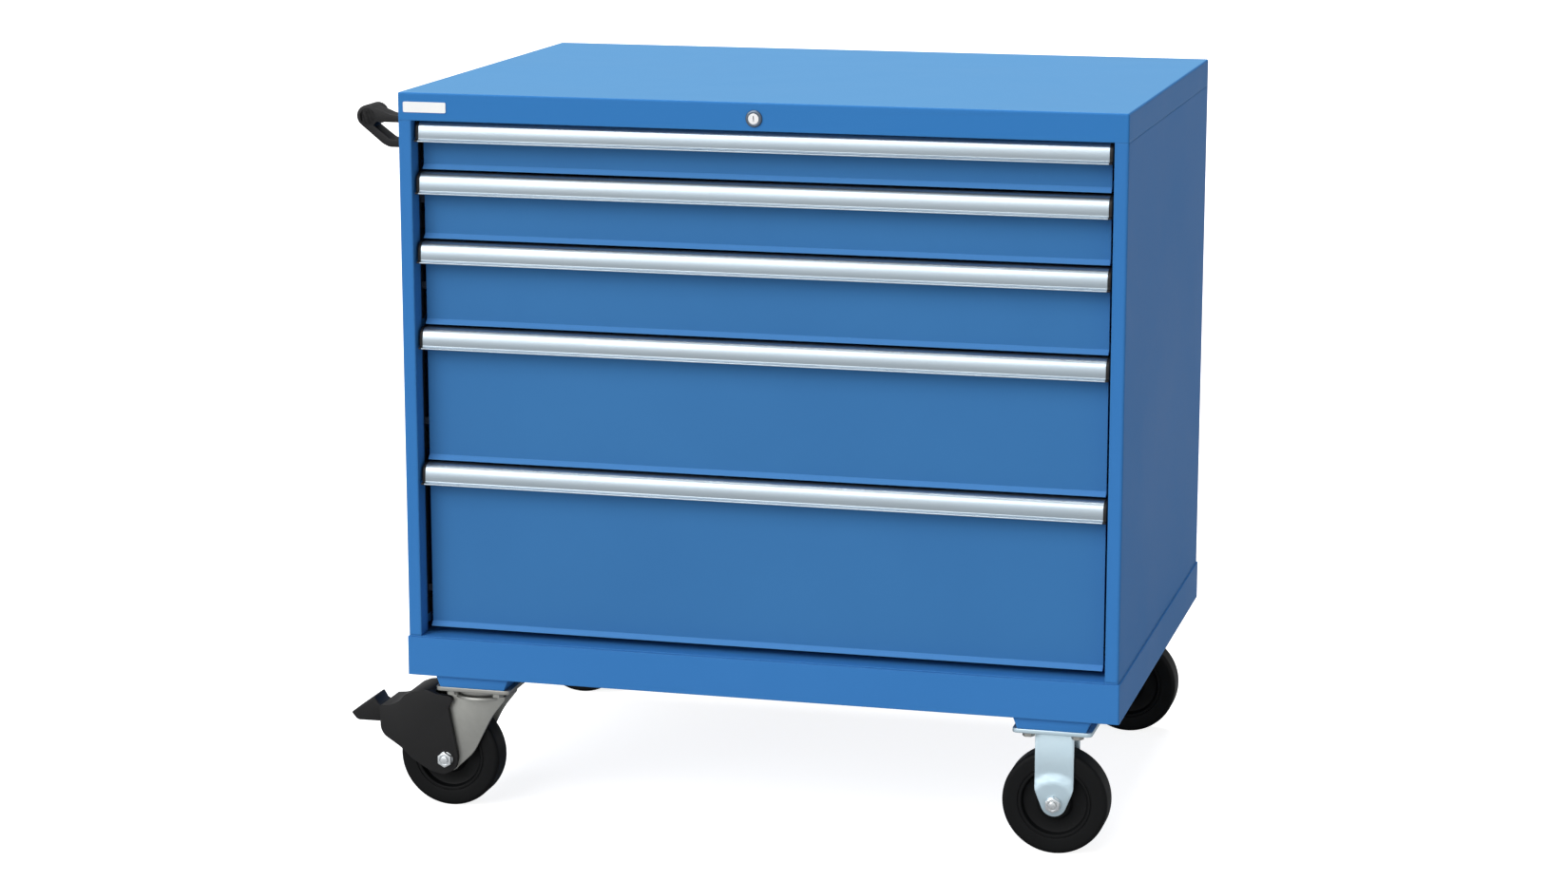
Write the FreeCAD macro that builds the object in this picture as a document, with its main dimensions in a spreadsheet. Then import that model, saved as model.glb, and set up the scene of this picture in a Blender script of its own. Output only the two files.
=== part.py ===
"""A mobile drawer cabinet: five full-width drawers in a steel housing on four casters.

The cabinet stands on the floor at z = 0 with its drawers facing -Y and its push handles
and brake pedals at -X. x = 0 lies midway between the brake pedals' tips and the right
side, and y = 0 lies midway between front and back.
"""
import FreeCAD, Part
import os
import Sketcher

doc = FreeCAD.newDocument("drawer_cabinet")

# Driving sizes, in millimetres. Each one is a cell of the sheet with its own name.
SIZES = [
    ("cabinet_width", 1050.0, "housing, side to side"),
    ("cabinet_depth", 750.0, "housing, front to back"),
    ("rail_height", 40.0, "skirt of the top cover"),
    ("plinth_height", 57.0, "base frame"),
    ("plinth_proud", 2.0, "base frame outside the housing"),
    ("plinth_flange", 64.0, "inward flanges of the base frame"),
    ("plinth_sheet", 3.0, "steel of the base frame and caster channels"),
    ("housing_sheet", 2.0, "steel of the housing"),
    ("edge_round", 3.0, "outer bend radius of the housing"),
    ("stile_width", 19.5, "front flange of a side panel"),
    ("stile_return", 28.0, "depth of the lip inside a stile"),
    ("rear_flange", 19.0, "rear flange of a side panel"),
    ("cover_lip", 18.0, "inward lip under the top cover"),
    ("drawer_pitch_1", 75.0, "top drawer"),
    ("drawer_pitch_2", 100.0, "second drawer"),
    ("drawer_pitch_3", 125.0, "third drawer"),
    ("drawer_pitch_4", 200.0, "fourth drawer"),
    ("drawer_pitch_5", 250.0, "bottom drawer"),
    ("bay_top_gap", 1.0, "above the top drawer"),
    ("bay_sill_gap", 8.0, "under the bottom drawer"),
    ("face_setback", 30.0, "drawer face behind the housing's front"),
    ("front_side_gap", 7.5, "drawer front to the stiles"),
    ("front_sheet", 1.5, "steel of a drawer front"),
    ("front_thick", 14.0, "folded drawer front, face to back"),
    ("front_gap", 4.0, "under each drawer front"),
    ("front_flare", 7.0, "forward flare at a drawer front's bottom edge"),
    ("front_lap", 10.0, "drawer front's flanges over the box's front wall"),
    ("handle_height", 30.0, "drawer handle"),
    ("handle_side_gap", 3.0, "a handle's end caps to the stiles"),
    ("handle_reach", 20.0, "top of the handle in front of the drawer face"),
    ("handle_lean", 5.5, "how far the handle's skin leans out downwards"),
    ("handle_wall", 2.0, "aluminium of the handle"),
    ("handle_round", 9.0, "outer bend of the handle"),
    ("handle_bead", 2.5, "lip at the handle's bottom edge"),
    ("handle_bead_height", 3.0, "height of that lip"),
    ("handle_hook", 10.0, "handle over the drawer front's top edge"),
    ("handle_back_height", 24.0, "back plate of the handle"),
    ("cap_thick", 5.0, "end cap of a handle"),
    ("cap_spigot", 8.0, "plug of an end cap inside the handle"),
    ("spigot_clear", 0.3, "between that plug and the handle"),
    ("slide_space", 39.5, "drawer box to the housing's wall, for a slide"),
    ("box_sheet", 1.5, "steel of a drawer box"),
    ("box_rise", 8.0, "drawer box above the bottom of its zone"),
    ("box_headroom", 17.0, "free height above a drawer box"),
    ("box_rear_gap", 36.0, "behind a drawer box"),
    ("rail_rise", 24.0, "slide centre above the bottom of its zone"),
    ("roller_radius", 10.0, "slide roller"),
    ("roller_clear", 0.3, "roller in its channel"),
    ("channel_sheet", 2.0, "steel of the slide channels"),
    ("bar_thick", 3.0, "carriage bar"),
    ("bar_height", 16.0, "carriage bar"),
    ("bar_length", 626.0, "carriage bar"),
    ("bar_clear", 0.8, "carriage bar to a channel's flange"),
    ("roller_width", 6.0, "slide roller"),
    ("roller_side_clear", 0.5, "roller to a channel's web"),
    ("slide_start_gap", 2.0, "slide behind the drawer front"),
    ("carriage_start_gap", 6.0, "carriage behind the drawer front"),
    ("runner_rear_gap", 22.0, "cabinet runner to the housing's back"),
    ("standoff_length", 20.0, "bracket between a runner and the side panel"),
    ("standoff_inset", 18.0, "front bracket behind the runner's end"),
    ("roller_inset", 16.0, "rollers from the ends of the bar"),
    ("roller_mid", 280.0, "second roller from the first"),
    ("lock_height", 22.5, "lock centre under the top"),
    ("lock_ring_radius", 12.0, "lock"),
    ("lock_ring_proud", 3.0, "lock in front of the rail"),
    ("lock_barrel_radius", 9.5, "lock"),
    ("lock_barrel_length", 24.0, "lock behind the rail's face"),
    ("lock_nut_radius", 14.0, "lock"),
    ("lock_nut_thick", 4.0, "lock"),
    ("plug_radius", 7.5, "turning core of the lock"),
    ("plug_clear", 0.05, "core in its barrel, all round"),
    ("plug_proud", 0.5, "core in front of its ring"),
    ("keyway_width", 1.6, "key slot"),
    ("keyway_height", 8.0, "key slot"),
    ("keyway_depth", 6.0, "key slot"),
    ("cam_thick", 3.0, "lock cam"),
    ("cam_gap", 1.0, "cam behind the barrel"),
    ("lock_travel", 15.0, "stroke of the lock bar and the column"),
    ("lock_pin_radius", 2.5, "pins of the lock gear"),
    ("lock_slot_clear", 0.8, "pins in their slots, all round"),
    ("lock_strip", 3.0, "thickness of the lock bar and column plate"),
    ("lock_strip_gap", 1.0, "between the lock gear's layers"),
    ("lock_bar_height", 16.0, "lock bar"),
    ("lock_bar_end_drop", 10.0, "end plate under the lock bar's lower edge"),
    ("lock_bar_end_length", 32.0, "end plate of the lock bar"),
    ("lock_bar_tail", 14.0, "lock bar past the lock's centre"),
    ("column_width", 14.0, "lock column across"),
    ("column_depth", 10.0, "lock column, front to back"),
    ("column_wall_gap", 1.5, "lock column to the side panel"),
    ("column_foot_gap", 18.0, "lock column over the floor panel"),
    ("column_pin_inset", 26.5, "column pin from the side panel's outside"),
    ("hook_thick", 3.0, "hooks of the lock column"),
    ("hook_height", 10.0, "hooks of the lock column"),
    ("hook_length", 20.0, "hooks of the lock column"),
    ("hook_clear", 3.0, "hook over its catch when unlocked"),
    ("hook_inset", 1.0, "hooks in front of the column's rear face"),
    ("catch_rise", 40.0, "catch above the bottom of its zone"),
    ("catch_height", 10.0, "catch on a drawer box"),
    ("catch_length", 13.0, "catch on a drawer box"),
    ("catch_gap", 2.0, "catch behind its hook"),
    ("guide_length", 12.0, "guides of the lock bar and column"),
    ("guide_wall", 2.5, "guides of the lock bar and column"),
    ("guide_clear", 0.5, "guides of the lock bar and column"),
    ("guide_skin", 0.5, "inner wall of the lock column's guides"),
    ("plate_label_length", 64.0, "bare name plate"),
    ("plate_label_height", 15.0, "bare name plate"),
    ("plate_label_thick", 1.2, "bare name plate"),
    ("plate_label_inset", 8.5, "name plate from the side"),
    ("plate_label_drop", 13.3, "name plate under the top"),
    ("plate_label_round", 2.0, "name plate's corners"),
    ("push_inset", 80.0, "push handles from front and back"),
    ("push_grip_length", 50.0, "push handle's round grip, front to back"),
    ("push_grip_radius", 16.0, "push handle's round grip"),
    ("push_reach", 77.4, "grip's centre from the cabinet's side"),
    ("push_drop", 45.8, "grip's centre under the top"),
    ("push_web_depth", 30.0, "arm, strut and foot, front to back"),
    ("push_arm_thick", 10.0, "upper arm of a push handle"),
    ("push_arm_drop", 3.0, "upper arm's middle under the grip's centre"),
    ("push_arm_bend", 43.0, "bend in the arm's top edge, from the cabinet's side"),
    ("push_strut_thick", 11.0, "strut of a push handle, at its foot"),
    ("push_strut_drop", 44.0, "foot of the strut under the grip's centre"),
    ("push_knee", 47.5, "outer knee of the strut, from the cabinet's side"),
    ("push_inner_knee", 42.0, "inner corner over the knee, from the cabinet's side"),
    ("push_foot_thick", 8.0, "foot of a push handle on the side panel"),
    ("push_foot_over", 9.0, "foot above the upper arm and below the strut"),
    ("caster_height", 190.5, "floor to the top of a caster plate"),
    ("caster_inset_x", 94.5, "caster plate's centre from the side"),
    ("caster_inset_y", 56.0, "caster plate's centre from front or back"),
    ("caster_plate_length", 114.3, "caster plate across the cabinet"),
    ("caster_plate_width", 102.0, "caster plate, front to back"),
    ("caster_plate_thick", 6.35, "caster plate"),
    ("caster_plate_round", 8.0, "caster plate's corners"),
    ("hole_spacing_x", 70.0, "caster plate's bolts"),
    ("hole_spacing_y", 76.0, "caster plate's bolts"),
    ("caster_bolt_radius", 4.75, "caster bolt"),
    ("caster_bolt_clear", 0.5, "caster bolt in its hole, all round"),
    ("caster_head_radius", 9.0, "across the corners, half"),
    ("caster_head_height", 6.4, "bolt head and nut"),
    ("channel_height", 17.5, "caster channel"),
    ("channel_bottom_half", 49.0, "caster channel's flat bottom, half"),
    ("channel_top_half", 56.0, "caster channel's open top, half"),
    ("channel_inset", 5.0, "caster channel behind the cabinet's front"),
    ("wheel_top_gap", 38.1, "top of a caster plate over its wheel"),
    ("wheel_width", 44.0, "caster wheel"),
    ("wheel_shoulder", 6.0, "rounding at the edge of the tread"),
    ("wheel_hub_radius", 24.0, "wheel hub"),
    ("wheel_hub_width", 47.0, "wheel hub"),
    ("wheel_web_width", 26.0, "wheel web"),
    ("wheel_rim_radius", 52.0, "inside of the rim"),
    ("wheel_draft", 4.0, "slope between web, hub and rim"),
    ("axle_radius", 6.0, "wheel axle"),
    ("axle_clear", 0.05, "axle in the wheel, all round"),
    ("axle_head_radius", 11.0, "across the corners, half"),
    ("axle_head_height", 7.0, "axle bolt head and nut"),
    ("fork_sheet", 4.0, "fork leg"),
    ("fork_gap", 1.5, "fork leg to the wheel hub"),
    ("fork_half_width", 28.0, "rigid fork leg, half its width"),
    ("fork_straight", 20.0, "where the leg's taper starts above the axle"),
    ("fork_end_radius", 23.0, "round end of a fork leg"),
    ("fork_boss_radius", 14.0, "pressed boss round the axle"),
    ("fork_boss_proud", 1.5, "pressed boss round the axle"),
    ("swivel_trail", 48.0, "wheel behind its swivel axis"),
    ("race_radius", 38.0, "swivel bearing"),
    ("race_height", 9.0, "swivel bearing"),
    ("race_gap", 0.3, "between the bearing's halves"),
    ("crown_radius", 43.0, "crown of a swivel fork"),
    ("crown_thick", 5.0, "crown of a swivel fork"),
    ("king_radius", 8.0, "king pin"),
    ("king_clear", 0.05, "king pin in the crown, all round"),
    ("king_head_radius", 14.0, "king pin's head"),
    ("king_head_height", 5.0, "king pin's head"),
    ("cheek_thick", 3.5, "brake cover's cheek"),
    ("cover_wall", 3.0, "brake cover's bridge"),
    ("pedal_pivot_gap", 6.8, "pedal pivot behind the tyre"),
    ("pedal_pivot_drop", 15.2, "pedal pivot under the wheel's top"),
    ("pedal_pivot_radius", 3.0, "pedal pivot"),
    ("pedal_pivot_clear", 0.05, "pedal pivot in its bore, all round"),
    ("pedal_overhang", 78.8, "pedal tip behind the tyre"),
    ("pedal_half_width", 31.0, "pedal's tread, half"),
    ("pedal_arm_half_width", 24.0, "pedal's arm between the cheeks, half"),
    ("overrun", 2.0, "how far a cutter passes the face it cuts"),
]


class Size:
    """A length with its value and the sheet's words that it is worked out from."""

    def __init__(self, value, words):
        self.value = float(value)
        self.words = words

    def __add__(self, other):
        other = as_size(other)
        return Size(self.value + other.value, f"({self.words} + {other.words})")

    def __sub__(self, other):
        other = as_size(other)
        return Size(self.value - other.value, f"({self.words} - {other.words})")

    def __mul__(self, share):
        share = as_size(share)
        return Size(self.value * share.value, f"({self.words} * {share.words})")

    def __truediv__(self, share):
        share = as_size(share)
        return Size(self.value / share.value, f"({self.words} / {share.words})")

    def __neg__(self):
        return Size(-self.value, f"(0 - {self.words})")

    __radd__ = __add__
    __rmul__ = __mul__


def as_size(number):
    """A plain number as a Size, so that both can stand in one sum."""
    if isinstance(number, Size):
        return number
    return Size(number, f"({number!r})")


class Sheet:
    """The driving sizes as attributes, each one a Size that names its cell."""


sheet = doc.addObject("Spreadsheet::Sheet", "Sizes")
size = Sheet()
for row, (alias, value, meaning) in enumerate(SIZES, start=1):
    sheet.set(f"A{row}", alias)
    sheet.set(f"B{row}", str(value))
    sheet.set(f"C{row}", meaning)
    sheet.setAlias(f"B{row}", alias)
    setattr(size, alias, Size(value, f"Sizes.{alias}"))
doc.recompute()

ZERO = as_size(0.0)
LEFT, RIGHT = -1.0, 1.0
FRONT, REAR = -1.0, 1.0

# Levels and planes that several pieces share.
half_width = size.cabinet_width / 2
half_depth = size.cabinet_depth / 2
channel_z = size.caster_height
plinth_z = channel_z + size.channel_height
bay_z = plinth_z + size.plinth_height
pitches = [getattr(size, f"drawer_pitch_{number}") for number in range(1, 6)]
bay_height = size.bay_sill_gap + size.bay_top_gap
for pitch in pitches:
    bay_height = bay_height + pitch
rail_z = bay_z + bay_height
top_z = rail_z + size.rail_height
wheel_radius = (size.caster_height - size.wheel_top_gap) / 2
axle_z = wheel_radius
face_y = -half_depth + size.face_setback
front_back_y = face_y + size.front_thick
stile_inner_x = half_width - size.stile_width
front_half_width = stile_inner_x - size.front_side_gap
handle_half_length = stile_inner_x - size.handle_side_gap - size.cap_thick
box_half_width = half_width - size.housing_sheet - size.slide_space
caster_x = half_width - size.caster_inset_x
caster_y = half_depth - size.caster_inset_y
swivel_axle_x = -caster_x - size.swivel_trail
plinth_half_width = half_width + size.plinth_proud
pedal_pivot_reach = wheel_radius + size.pedal_pivot_gap
pedal_pivot_rise = wheel_radius - size.pedal_pivot_drop
pedal_tip_x = swivel_axle_x - wheel_radius - size.pedal_overhang
mid_x = -(pedal_tip_x + plinth_half_width) / 2

finished = {}


def place(thing, x, y, z):
    """Bind an object's place to the sheet, counted from the cabinet's own middle."""
    thing.setExpression(".Placement.Base.x", (x + mid_x).words)
    thing.setExpression(".Placement.Base.y", as_size(y).words)
    thing.setExpression(".Placement.Base.z", as_size(z).words)


def block(name, low, high):
    """A box between two corners."""
    thing = doc.addObject("Part::Box", name)
    for side, start, end in zip(("Length", "Width", "Height"), low, high):
        thing.setExpression(side, (as_size(end) - start).words)
    place(thing, *[as_size(value) for value in low])
    return thing


QUARTER_TURN = 90.0
TURNS = {
    "x": FreeCAD.Rotation(FreeCAD.Vector(0, 1, 0), QUARTER_TURN),
    "y": FreeCAD.Rotation(FreeCAD.Vector(1, 0, 0), -QUARTER_TURN),
    "z": FreeCAD.Rotation(),
}


def rod(name, axis, radius, start, length):
    """A cylinder that runs from its start point along +X, +Y or +Z."""
    thing = doc.addObject("Part::Cylinder", name)
    thing.Placement.Rotation = TURNS[axis]
    thing.setExpression("Radius", as_size(radius).words)
    thing.setExpression("Height", as_size(length).words)
    place(thing, *[as_size(value) for value in start])
    return thing


def hexagon(name, axis, radius, start, length):
    """A hexagonal bolt head or nut."""
    thing = doc.addObject("Part::Prism", name)
    thing.Polygon = 6
    thing.Placement.Rotation = TURNS[axis]
    thing.setExpression("Circumradius", radius.words)
    thing.setExpression("Height", length.words)
    place(thing, *[as_size(value) for value in start])
    return thing


def join(name, *pieces):
    """Pieces that are one solid in the end."""
    thing = doc.addObject("Part::MultiFuse", name)
    thing.Shapes = list(pieces)
    thing.Refine = True
    return thing


def cut(name, stock, *tools):
    """A piece with one or more shapes taken out of it."""
    thing = doc.addObject("Part::Cut", name)
    thing.Base = stock
    thing.Tool = tools[0] if len(tools) == 1 else join(name + "_tools", *tools)
    return thing


def pair(name, *pieces):
    """Separate solids that share one node."""
    thing = doc.addObject("Part::Compound", name)
    thing.Links = list(pieces)
    return thing


def finish(thing, node):
    """Label a finished sub-part with the name of its node."""
    thing.Label = node
    finished[node] = thing
    return thing


def outline(sketch, corners):
    """Draw a closed outline whose every corner is held by sizes of the sheet."""
    spots = [FreeCAD.Vector(as_size(u).value, as_size(v).value, 0) for u, v in corners]
    count = len(spots)
    for index in range(count):
        sketch.addGeometry(Part.LineSegment(spots[index], spots[(index + 1) % count]), False)
    for index in range(count):
        sketch.addConstraint(Sketcher.Constraint("Coincident", index, 2, (index + 1) % count, 1))
    for index, corner in enumerate(corners):
        for kind, value in zip(("DistanceX", "DistanceY"), corner):
            value = as_size(value)
            datum = sketch.addConstraint(
                Sketcher.Constraint(kind, -1, 1, index, 1, value.value))
            sketch.setExpression(f"Constraints[{datum}]", value.words)


def sketch_on(body, role, offset):
    """An empty sketch on one of a body's own origin planes, moved along its normal."""
    plane = next(item for item in body.Origin.OriginFeatures if item.Role == role)
    sketch = body.newObject("Sketcher::SketchObject", body.Name + "_sketch")
    sketch.AttachmentSupport = [(plane, "")]
    sketch.MapMode = "FlatFace"
    sketch.setExpression(".AttachmentOffset.Base.z", as_size(offset).words)
    return sketch


def prism(name, role, corners, start, length, at=(ZERO, ZERO, ZERO)):
    """A body padded from an outline. On XZ_Plane the pad runs from start towards -Y."""
    body = doc.addObject("PartDesign::Body", name)
    sketch = sketch_on(body, role, start)
    outline(sketch, corners)
    pad = body.newObject("PartDesign::Pad", name + "_pad")
    pad.Profile = sketch
    pad.setExpression("Length", as_size(length).words)
    sketch.Visibility = False
    place(body, *at)
    return body


def round_edges(body, radius, chosen, name="round"):
    """Fillet those edges of a body that chosen(edge) picks, in the body's own frame."""
    doc.recompute()
    base = body.Tip
    names = [f"Edge{index}" for index, edge in enumerate(base.Shape.Edges, start=1)
             if chosen(edge)]
    fillet = body.newObject("PartDesign::Fillet", f"{body.Name}_{name}")
    fillet.Base = (base, names)
    fillet.setExpression("Radius", radius.words)
    body.Tip = fillet
    return body


# How nearly straight an edge runs along its axis, and how nearly equal two lengths are.
along_share = 0.999
near_share = 0.01


def runs_along(edge, axis):
    """Whether a straight edge runs along an axis, given as 0, 1 or 2."""
    if len(edge.Vertexes) < 2:
        return False
    way = edge.Vertexes[1].Point - edge.Vertexes[0].Point
    return abs(way[axis]) > along_share * way.Length


def middle(edge):
    """The point halfway along an edge."""
    return (edge.Vertexes[0].Point + edge.Vertexes[1].Point) / 2


def is_near(value, target):
    """Whether two lengths are equal but for rounding."""
    return abs(value - as_size(target).value) < size.housing_sheet.value * near_share


def rectangle(low, high):
    """The corners of a rectangle."""
    return [(low[0], low[1]), (high[0], low[1]), (high[0], high[1]), (low[0], high[1])]


def turned(profile, name, at):
    """A body revolved about the wheel axis, from (radius, y) corners."""
    body = doc.addObject("PartDesign::Body", name)
    sketch = sketch_on(body, "XY_Plane", ZERO)
    outline(sketch, profile)
    wheel = body.newObject("PartDesign::Revolution", name + "_turn")
    wheel.Profile = sketch
    wheel.ReferenceAxis = (sketch, ["V_Axis"])
    wheel.Angle = QUARTER_TURN * 4
    sketch.Visibility = False
    place(body, *at)
    return body


def zone_bottom(index):
    """The lower end of a drawer's share of the bay, 0 being the top drawer."""
    level = rail_z - size.bay_top_gap
    for pitch in pitches[:index + 1]:
        level = level - pitch
    return level


# Lock gear places, shared by the cover, the lock, the bar, the column and the drawers.
lock_z = top_z - size.lock_height
skirt_back_y = -half_depth + size.housing_sheet
cam_front_y = -half_depth + size.lock_barrel_length + size.cam_gap
bar_front_y = cam_front_y + size.cam_thick + size.lock_strip_gap
column_plate_y = bar_front_y + size.lock_strip + size.lock_strip_gap
# A crank that swings 45 degrees to each side strokes by its radius times this share.
swing_share = 1.4142135623730951
crank_radius = size.lock_travel / swing_share
crank_side = size.lock_travel / 2
slot_half = size.lock_pin_radius + size.lock_slot_clear
bar_low_z = lock_z + crank_side - slot_half - size.lock_strip
bar_high_z = bar_low_z + size.lock_bar_height
column_x = -half_width + size.housing_sheet + size.column_wall_gap
column_pin_x = -half_width + size.column_pin_inset
column_pin_z = bar_high_z - size.lock_strip - slot_half - size.lock_slot_clear
hook_y = column_plate_y + size.column_depth


# Places of the lock bar's two guides, as shares of the cabinet's half width.
GUIDE_SHARES = (-0.25, -0.75)


def top_cover():
    """A lipped sheet steel tray turned over, with guides for the lock bar inside."""
    shell = prism("cover_shell", "XY_Plane",
                  rectangle((-half_width, -half_depth), (half_width, half_depth)),
                  rail_z, size.rail_height)
    round_edges(shell, size.edge_round, lambda edge: runs_along(edge, 2)
                or is_near(middle(edge).z, top_z))
    sheet_thick = size.housing_sheet
    cavity = block("cover_cavity",
                   (-half_width + sheet_thick, skirt_back_y, rail_z + sheet_thick),
                   (half_width - sheet_thick, -skirt_back_y, top_z - sheet_thick))
    mouth = block("cover_mouth",
                  (-half_width + size.cover_lip, -half_depth + size.cover_lip,
                   rail_z - size.overrun),
                  (half_width - size.cover_lip, half_depth - size.cover_lip,
                   rail_z + sheet_thick + size.overrun))
    window = block("cover_column_window",
                   (column_x - size.guide_clear, column_plate_y - size.guide_clear,
                    rail_z - size.overrun),
                   (column_x + size.column_width + size.overrun,
                    hook_y + size.guide_clear, rail_z + sheet_thick + size.overrun))
    lock_hole = rod("cover_lock_hole", "y", size.lock_barrel_radius,
                    (ZERO, -half_depth - size.overrun, lock_z),
                    sheet_thick + size.overrun * 2)
    tray = cut("cover_tray", shell, cavity, mouth, window, lock_hole)
    guides = []
    for number, share in enumerate(GUIDE_SHARES, start=1):
        guides.append(bar_guide(number, half_width * share))
    return finish(join("top_cover", tray, *guides), "top_cover")


def bar_guide(number, x):
    """A strap that hangs from the cover's top and lets the lock bar slide through."""
    clear = size.guide_clear
    strap = block(f"guide_{number}_strap",
                  (x, bar_front_y - clear - size.guide_wall,
                   bar_low_z - clear - size.guide_wall),
                  (x + size.guide_length, bar_front_y + size.lock_strip + clear
                   + size.guide_wall, top_z - size.housing_sheet))
    way = block(f"guide_{number}_way",
                (x - size.overrun, bar_front_y - clear, bar_low_z - clear),
                (x + size.guide_length + size.overrun,
                 bar_front_y + size.lock_strip + clear, bar_high_z + clear))
    return cut(f"guide_{number}", strap, way)


def side_panel(name, side):
    """A side panel: outer wall, front stile with its lip, and a rear flange."""
    thick = size.housing_sheet
    wall = half_width * side
    inner = (half_width - thick) * side
    stile = stile_inner_x * side
    stile_back = (stile_inner_x + thick) * side
    flange = (half_width - size.rear_flange) * side
    corners = [
        (wall, -half_depth), (wall, half_depth), (flange, half_depth),
        (flange, half_depth - thick), (inner, half_depth - thick),
        (inner, -half_depth + thick), (stile_back, -half_depth + thick),
        (stile_back, -half_depth + size.stile_return),
        (stile, -half_depth + size.stile_return), (stile, -half_depth),
    ]
    body = prism(name + "_fold", "XY_Plane", corners, bay_z + thick, bay_height - thick)
    return round_edges(body, size.edge_round, lambda edge: runs_along(edge, 2)
                       and is_near(middle(edge).x, wall))


# Heights of the lock column's guides, as shares of the drawer bay.
COLUMN_GUIDE_SHARES = (0.02, 0.30, 0.60)


def column_guide(number, z):
    """A clip on the left side panel that the lock column slides in."""
    clear = size.guide_clear
    stock = block(f"column_guide_{number}_stock",
                  (-half_width + size.housing_sheet,
                   column_plate_y - clear - size.guide_wall, z),
                  (column_x + size.column_width + clear + size.guide_skin,
                   hook_y + clear + size.guide_wall, z + size.guide_length))
    way = block(f"column_guide_{number}_way",
                (column_x - clear, column_plate_y - clear, z - size.overrun),
                (column_x + size.column_width + clear, hook_y + clear,
                 z + size.guide_length + size.overrun))
    return cut(f"column_guide_{number}", stock, way)


def housing():
    """Side panels, back panel and floor panel."""
    left = side_panel("left_side_panel", LEFT)
    clips = [column_guide(number, bay_z + bay_height * share)
             for number, share in enumerate(COLUMN_GUIDE_SHARES, start=1)]
    finish(join("left_side_panel", left, *clips), "left_side_panel")
    finish(side_panel("right_side_panel", RIGHT), "right_side_panel")
    thick = size.housing_sheet
    finish(block("back_panel",
                 (-half_width + thick, half_depth - thick * 2, bay_z + thick),
                 (half_width - thick, half_depth - thick, rail_z)), "back_panel")
    floor = prism("floor_panel", "XY_Plane",
                  rectangle((-half_width, -half_depth), (half_width, half_depth)),
                  bay_z, thick)
    round_edges(floor, size.edge_round, lambda edge: runs_along(edge, 2))
    finish(floor, "floor_panel")


def base_frame():
    """A ring of channel steel, a little proud of the housing, open in its middle."""
    outer_y = half_depth + size.plinth_proud
    outer_x = plinth_half_width
    thick = size.plinth_sheet
    flange = size.plinth_flange
    ring = prism("plinth_ring", "XY_Plane",
                 rectangle((-outer_x, -outer_y), (outer_x, outer_y)),
                 plinth_z, size.plinth_height)
    round_edges(ring, size.edge_round, lambda edge: runs_along(edge, 2))
    hollow = block("plinth_hollow", (-outer_x + thick, -outer_y + thick, plinth_z + thick),
                   (outer_x - thick, outer_y - thick, bay_z - thick))
    window = block("plinth_window",
                   (-outer_x + flange, -outer_y + flange, plinth_z - size.overrun),
                   (outer_x - flange, outer_y - flange, bay_z + size.overrun))
    return finish(cut("base_frame", ring, hollow, window), "base_frame")


def bolt_places(x, y):
    """The four bolt places of the caster plate that is centred at x, y."""
    return [(x + size.hole_spacing_x / 2 * across, y + size.hole_spacing_y / 2 * along)
            for across in (LEFT, RIGHT) for along in (FRONT, REAR)]


def caster_channels():
    """Two hat channels under the base frame that carry the caster plates."""
    thick = size.plinth_sheet
    start = half_depth - size.channel_inset
    channels = []
    for word, side in (("left", LEFT), ("right", RIGHT)):
        centre = caster_x * side
        low, high = size.channel_bottom_half, size.channel_top_half
        corners = [
            (centre - high, plinth_z), (centre - low, channel_z),
            (centre + low, channel_z), (centre + high, plinth_z),
            (centre + high - thick, plinth_z), (centre + low - thick, channel_z + thick),
            (centre - low + thick, channel_z + thick), (centre - high + thick, plinth_z),
        ]
        channel = prism(f"{word}_channel", "XZ_Plane", corners, -start, start * 2)
        holes = []
        for end in (FRONT, REAR):
            for spot, (x, y) in enumerate(bolt_places(centre, caster_y * end)):
                holes.append(rod(f"{word}_channel_hole_{spot}_{int(end) + 1}", "z",
                                 size.caster_bolt_radius + size.caster_bolt_clear,
                                 (x, y, channel_z - size.overrun),
                                 thick + size.overrun * 2))
        channels.append(cut(f"{word}_channel_drilled", channel, *holes))
    return finish(pair("caster_channels", *channels), "caster_channels")


# Slide layers, from the drawer box outwards.
drawer_web_x = box_half_width + size.channel_sheet
bar_inner_x = drawer_web_x + size.roller_side_clear + size.roller_width
bar_outer_x = bar_inner_x + size.bar_thick
cabinet_web_x = bar_outer_x + size.roller_width + size.roller_side_clear
runner_outer_x = cabinet_web_x + size.channel_sheet
channel_half = size.roller_radius + size.roller_clear
slide_front_y = front_back_y + size.slide_start_gap
runner_length = half_depth - size.runner_rear_gap - slide_front_y
bar_front_end_y = front_back_y + size.carriage_start_gap
box_rear_y = half_depth - size.box_rear_gap


def c_channel(name, side, web_x, outward, tip_x, z, start_y, length):
    """A C channel along Y: its web, and two flanges that reach to tip_x."""
    half = channel_half
    thick = size.channel_sheet
    web_back = web_x + thick * outward
    corners = [
        (web_back * side, z - half - thick), (tip_x * side, z - half - thick),
        (tip_x * side, z - half), (web_x * side, z - half),
        (web_x * side, z + half), (tip_x * side, z + half),
        (tip_x * side, z + half + thick), (web_back * side, z + half + thick),
    ]
    return prism(name, "XZ_Plane", corners, -(start_y + length), length)


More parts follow.
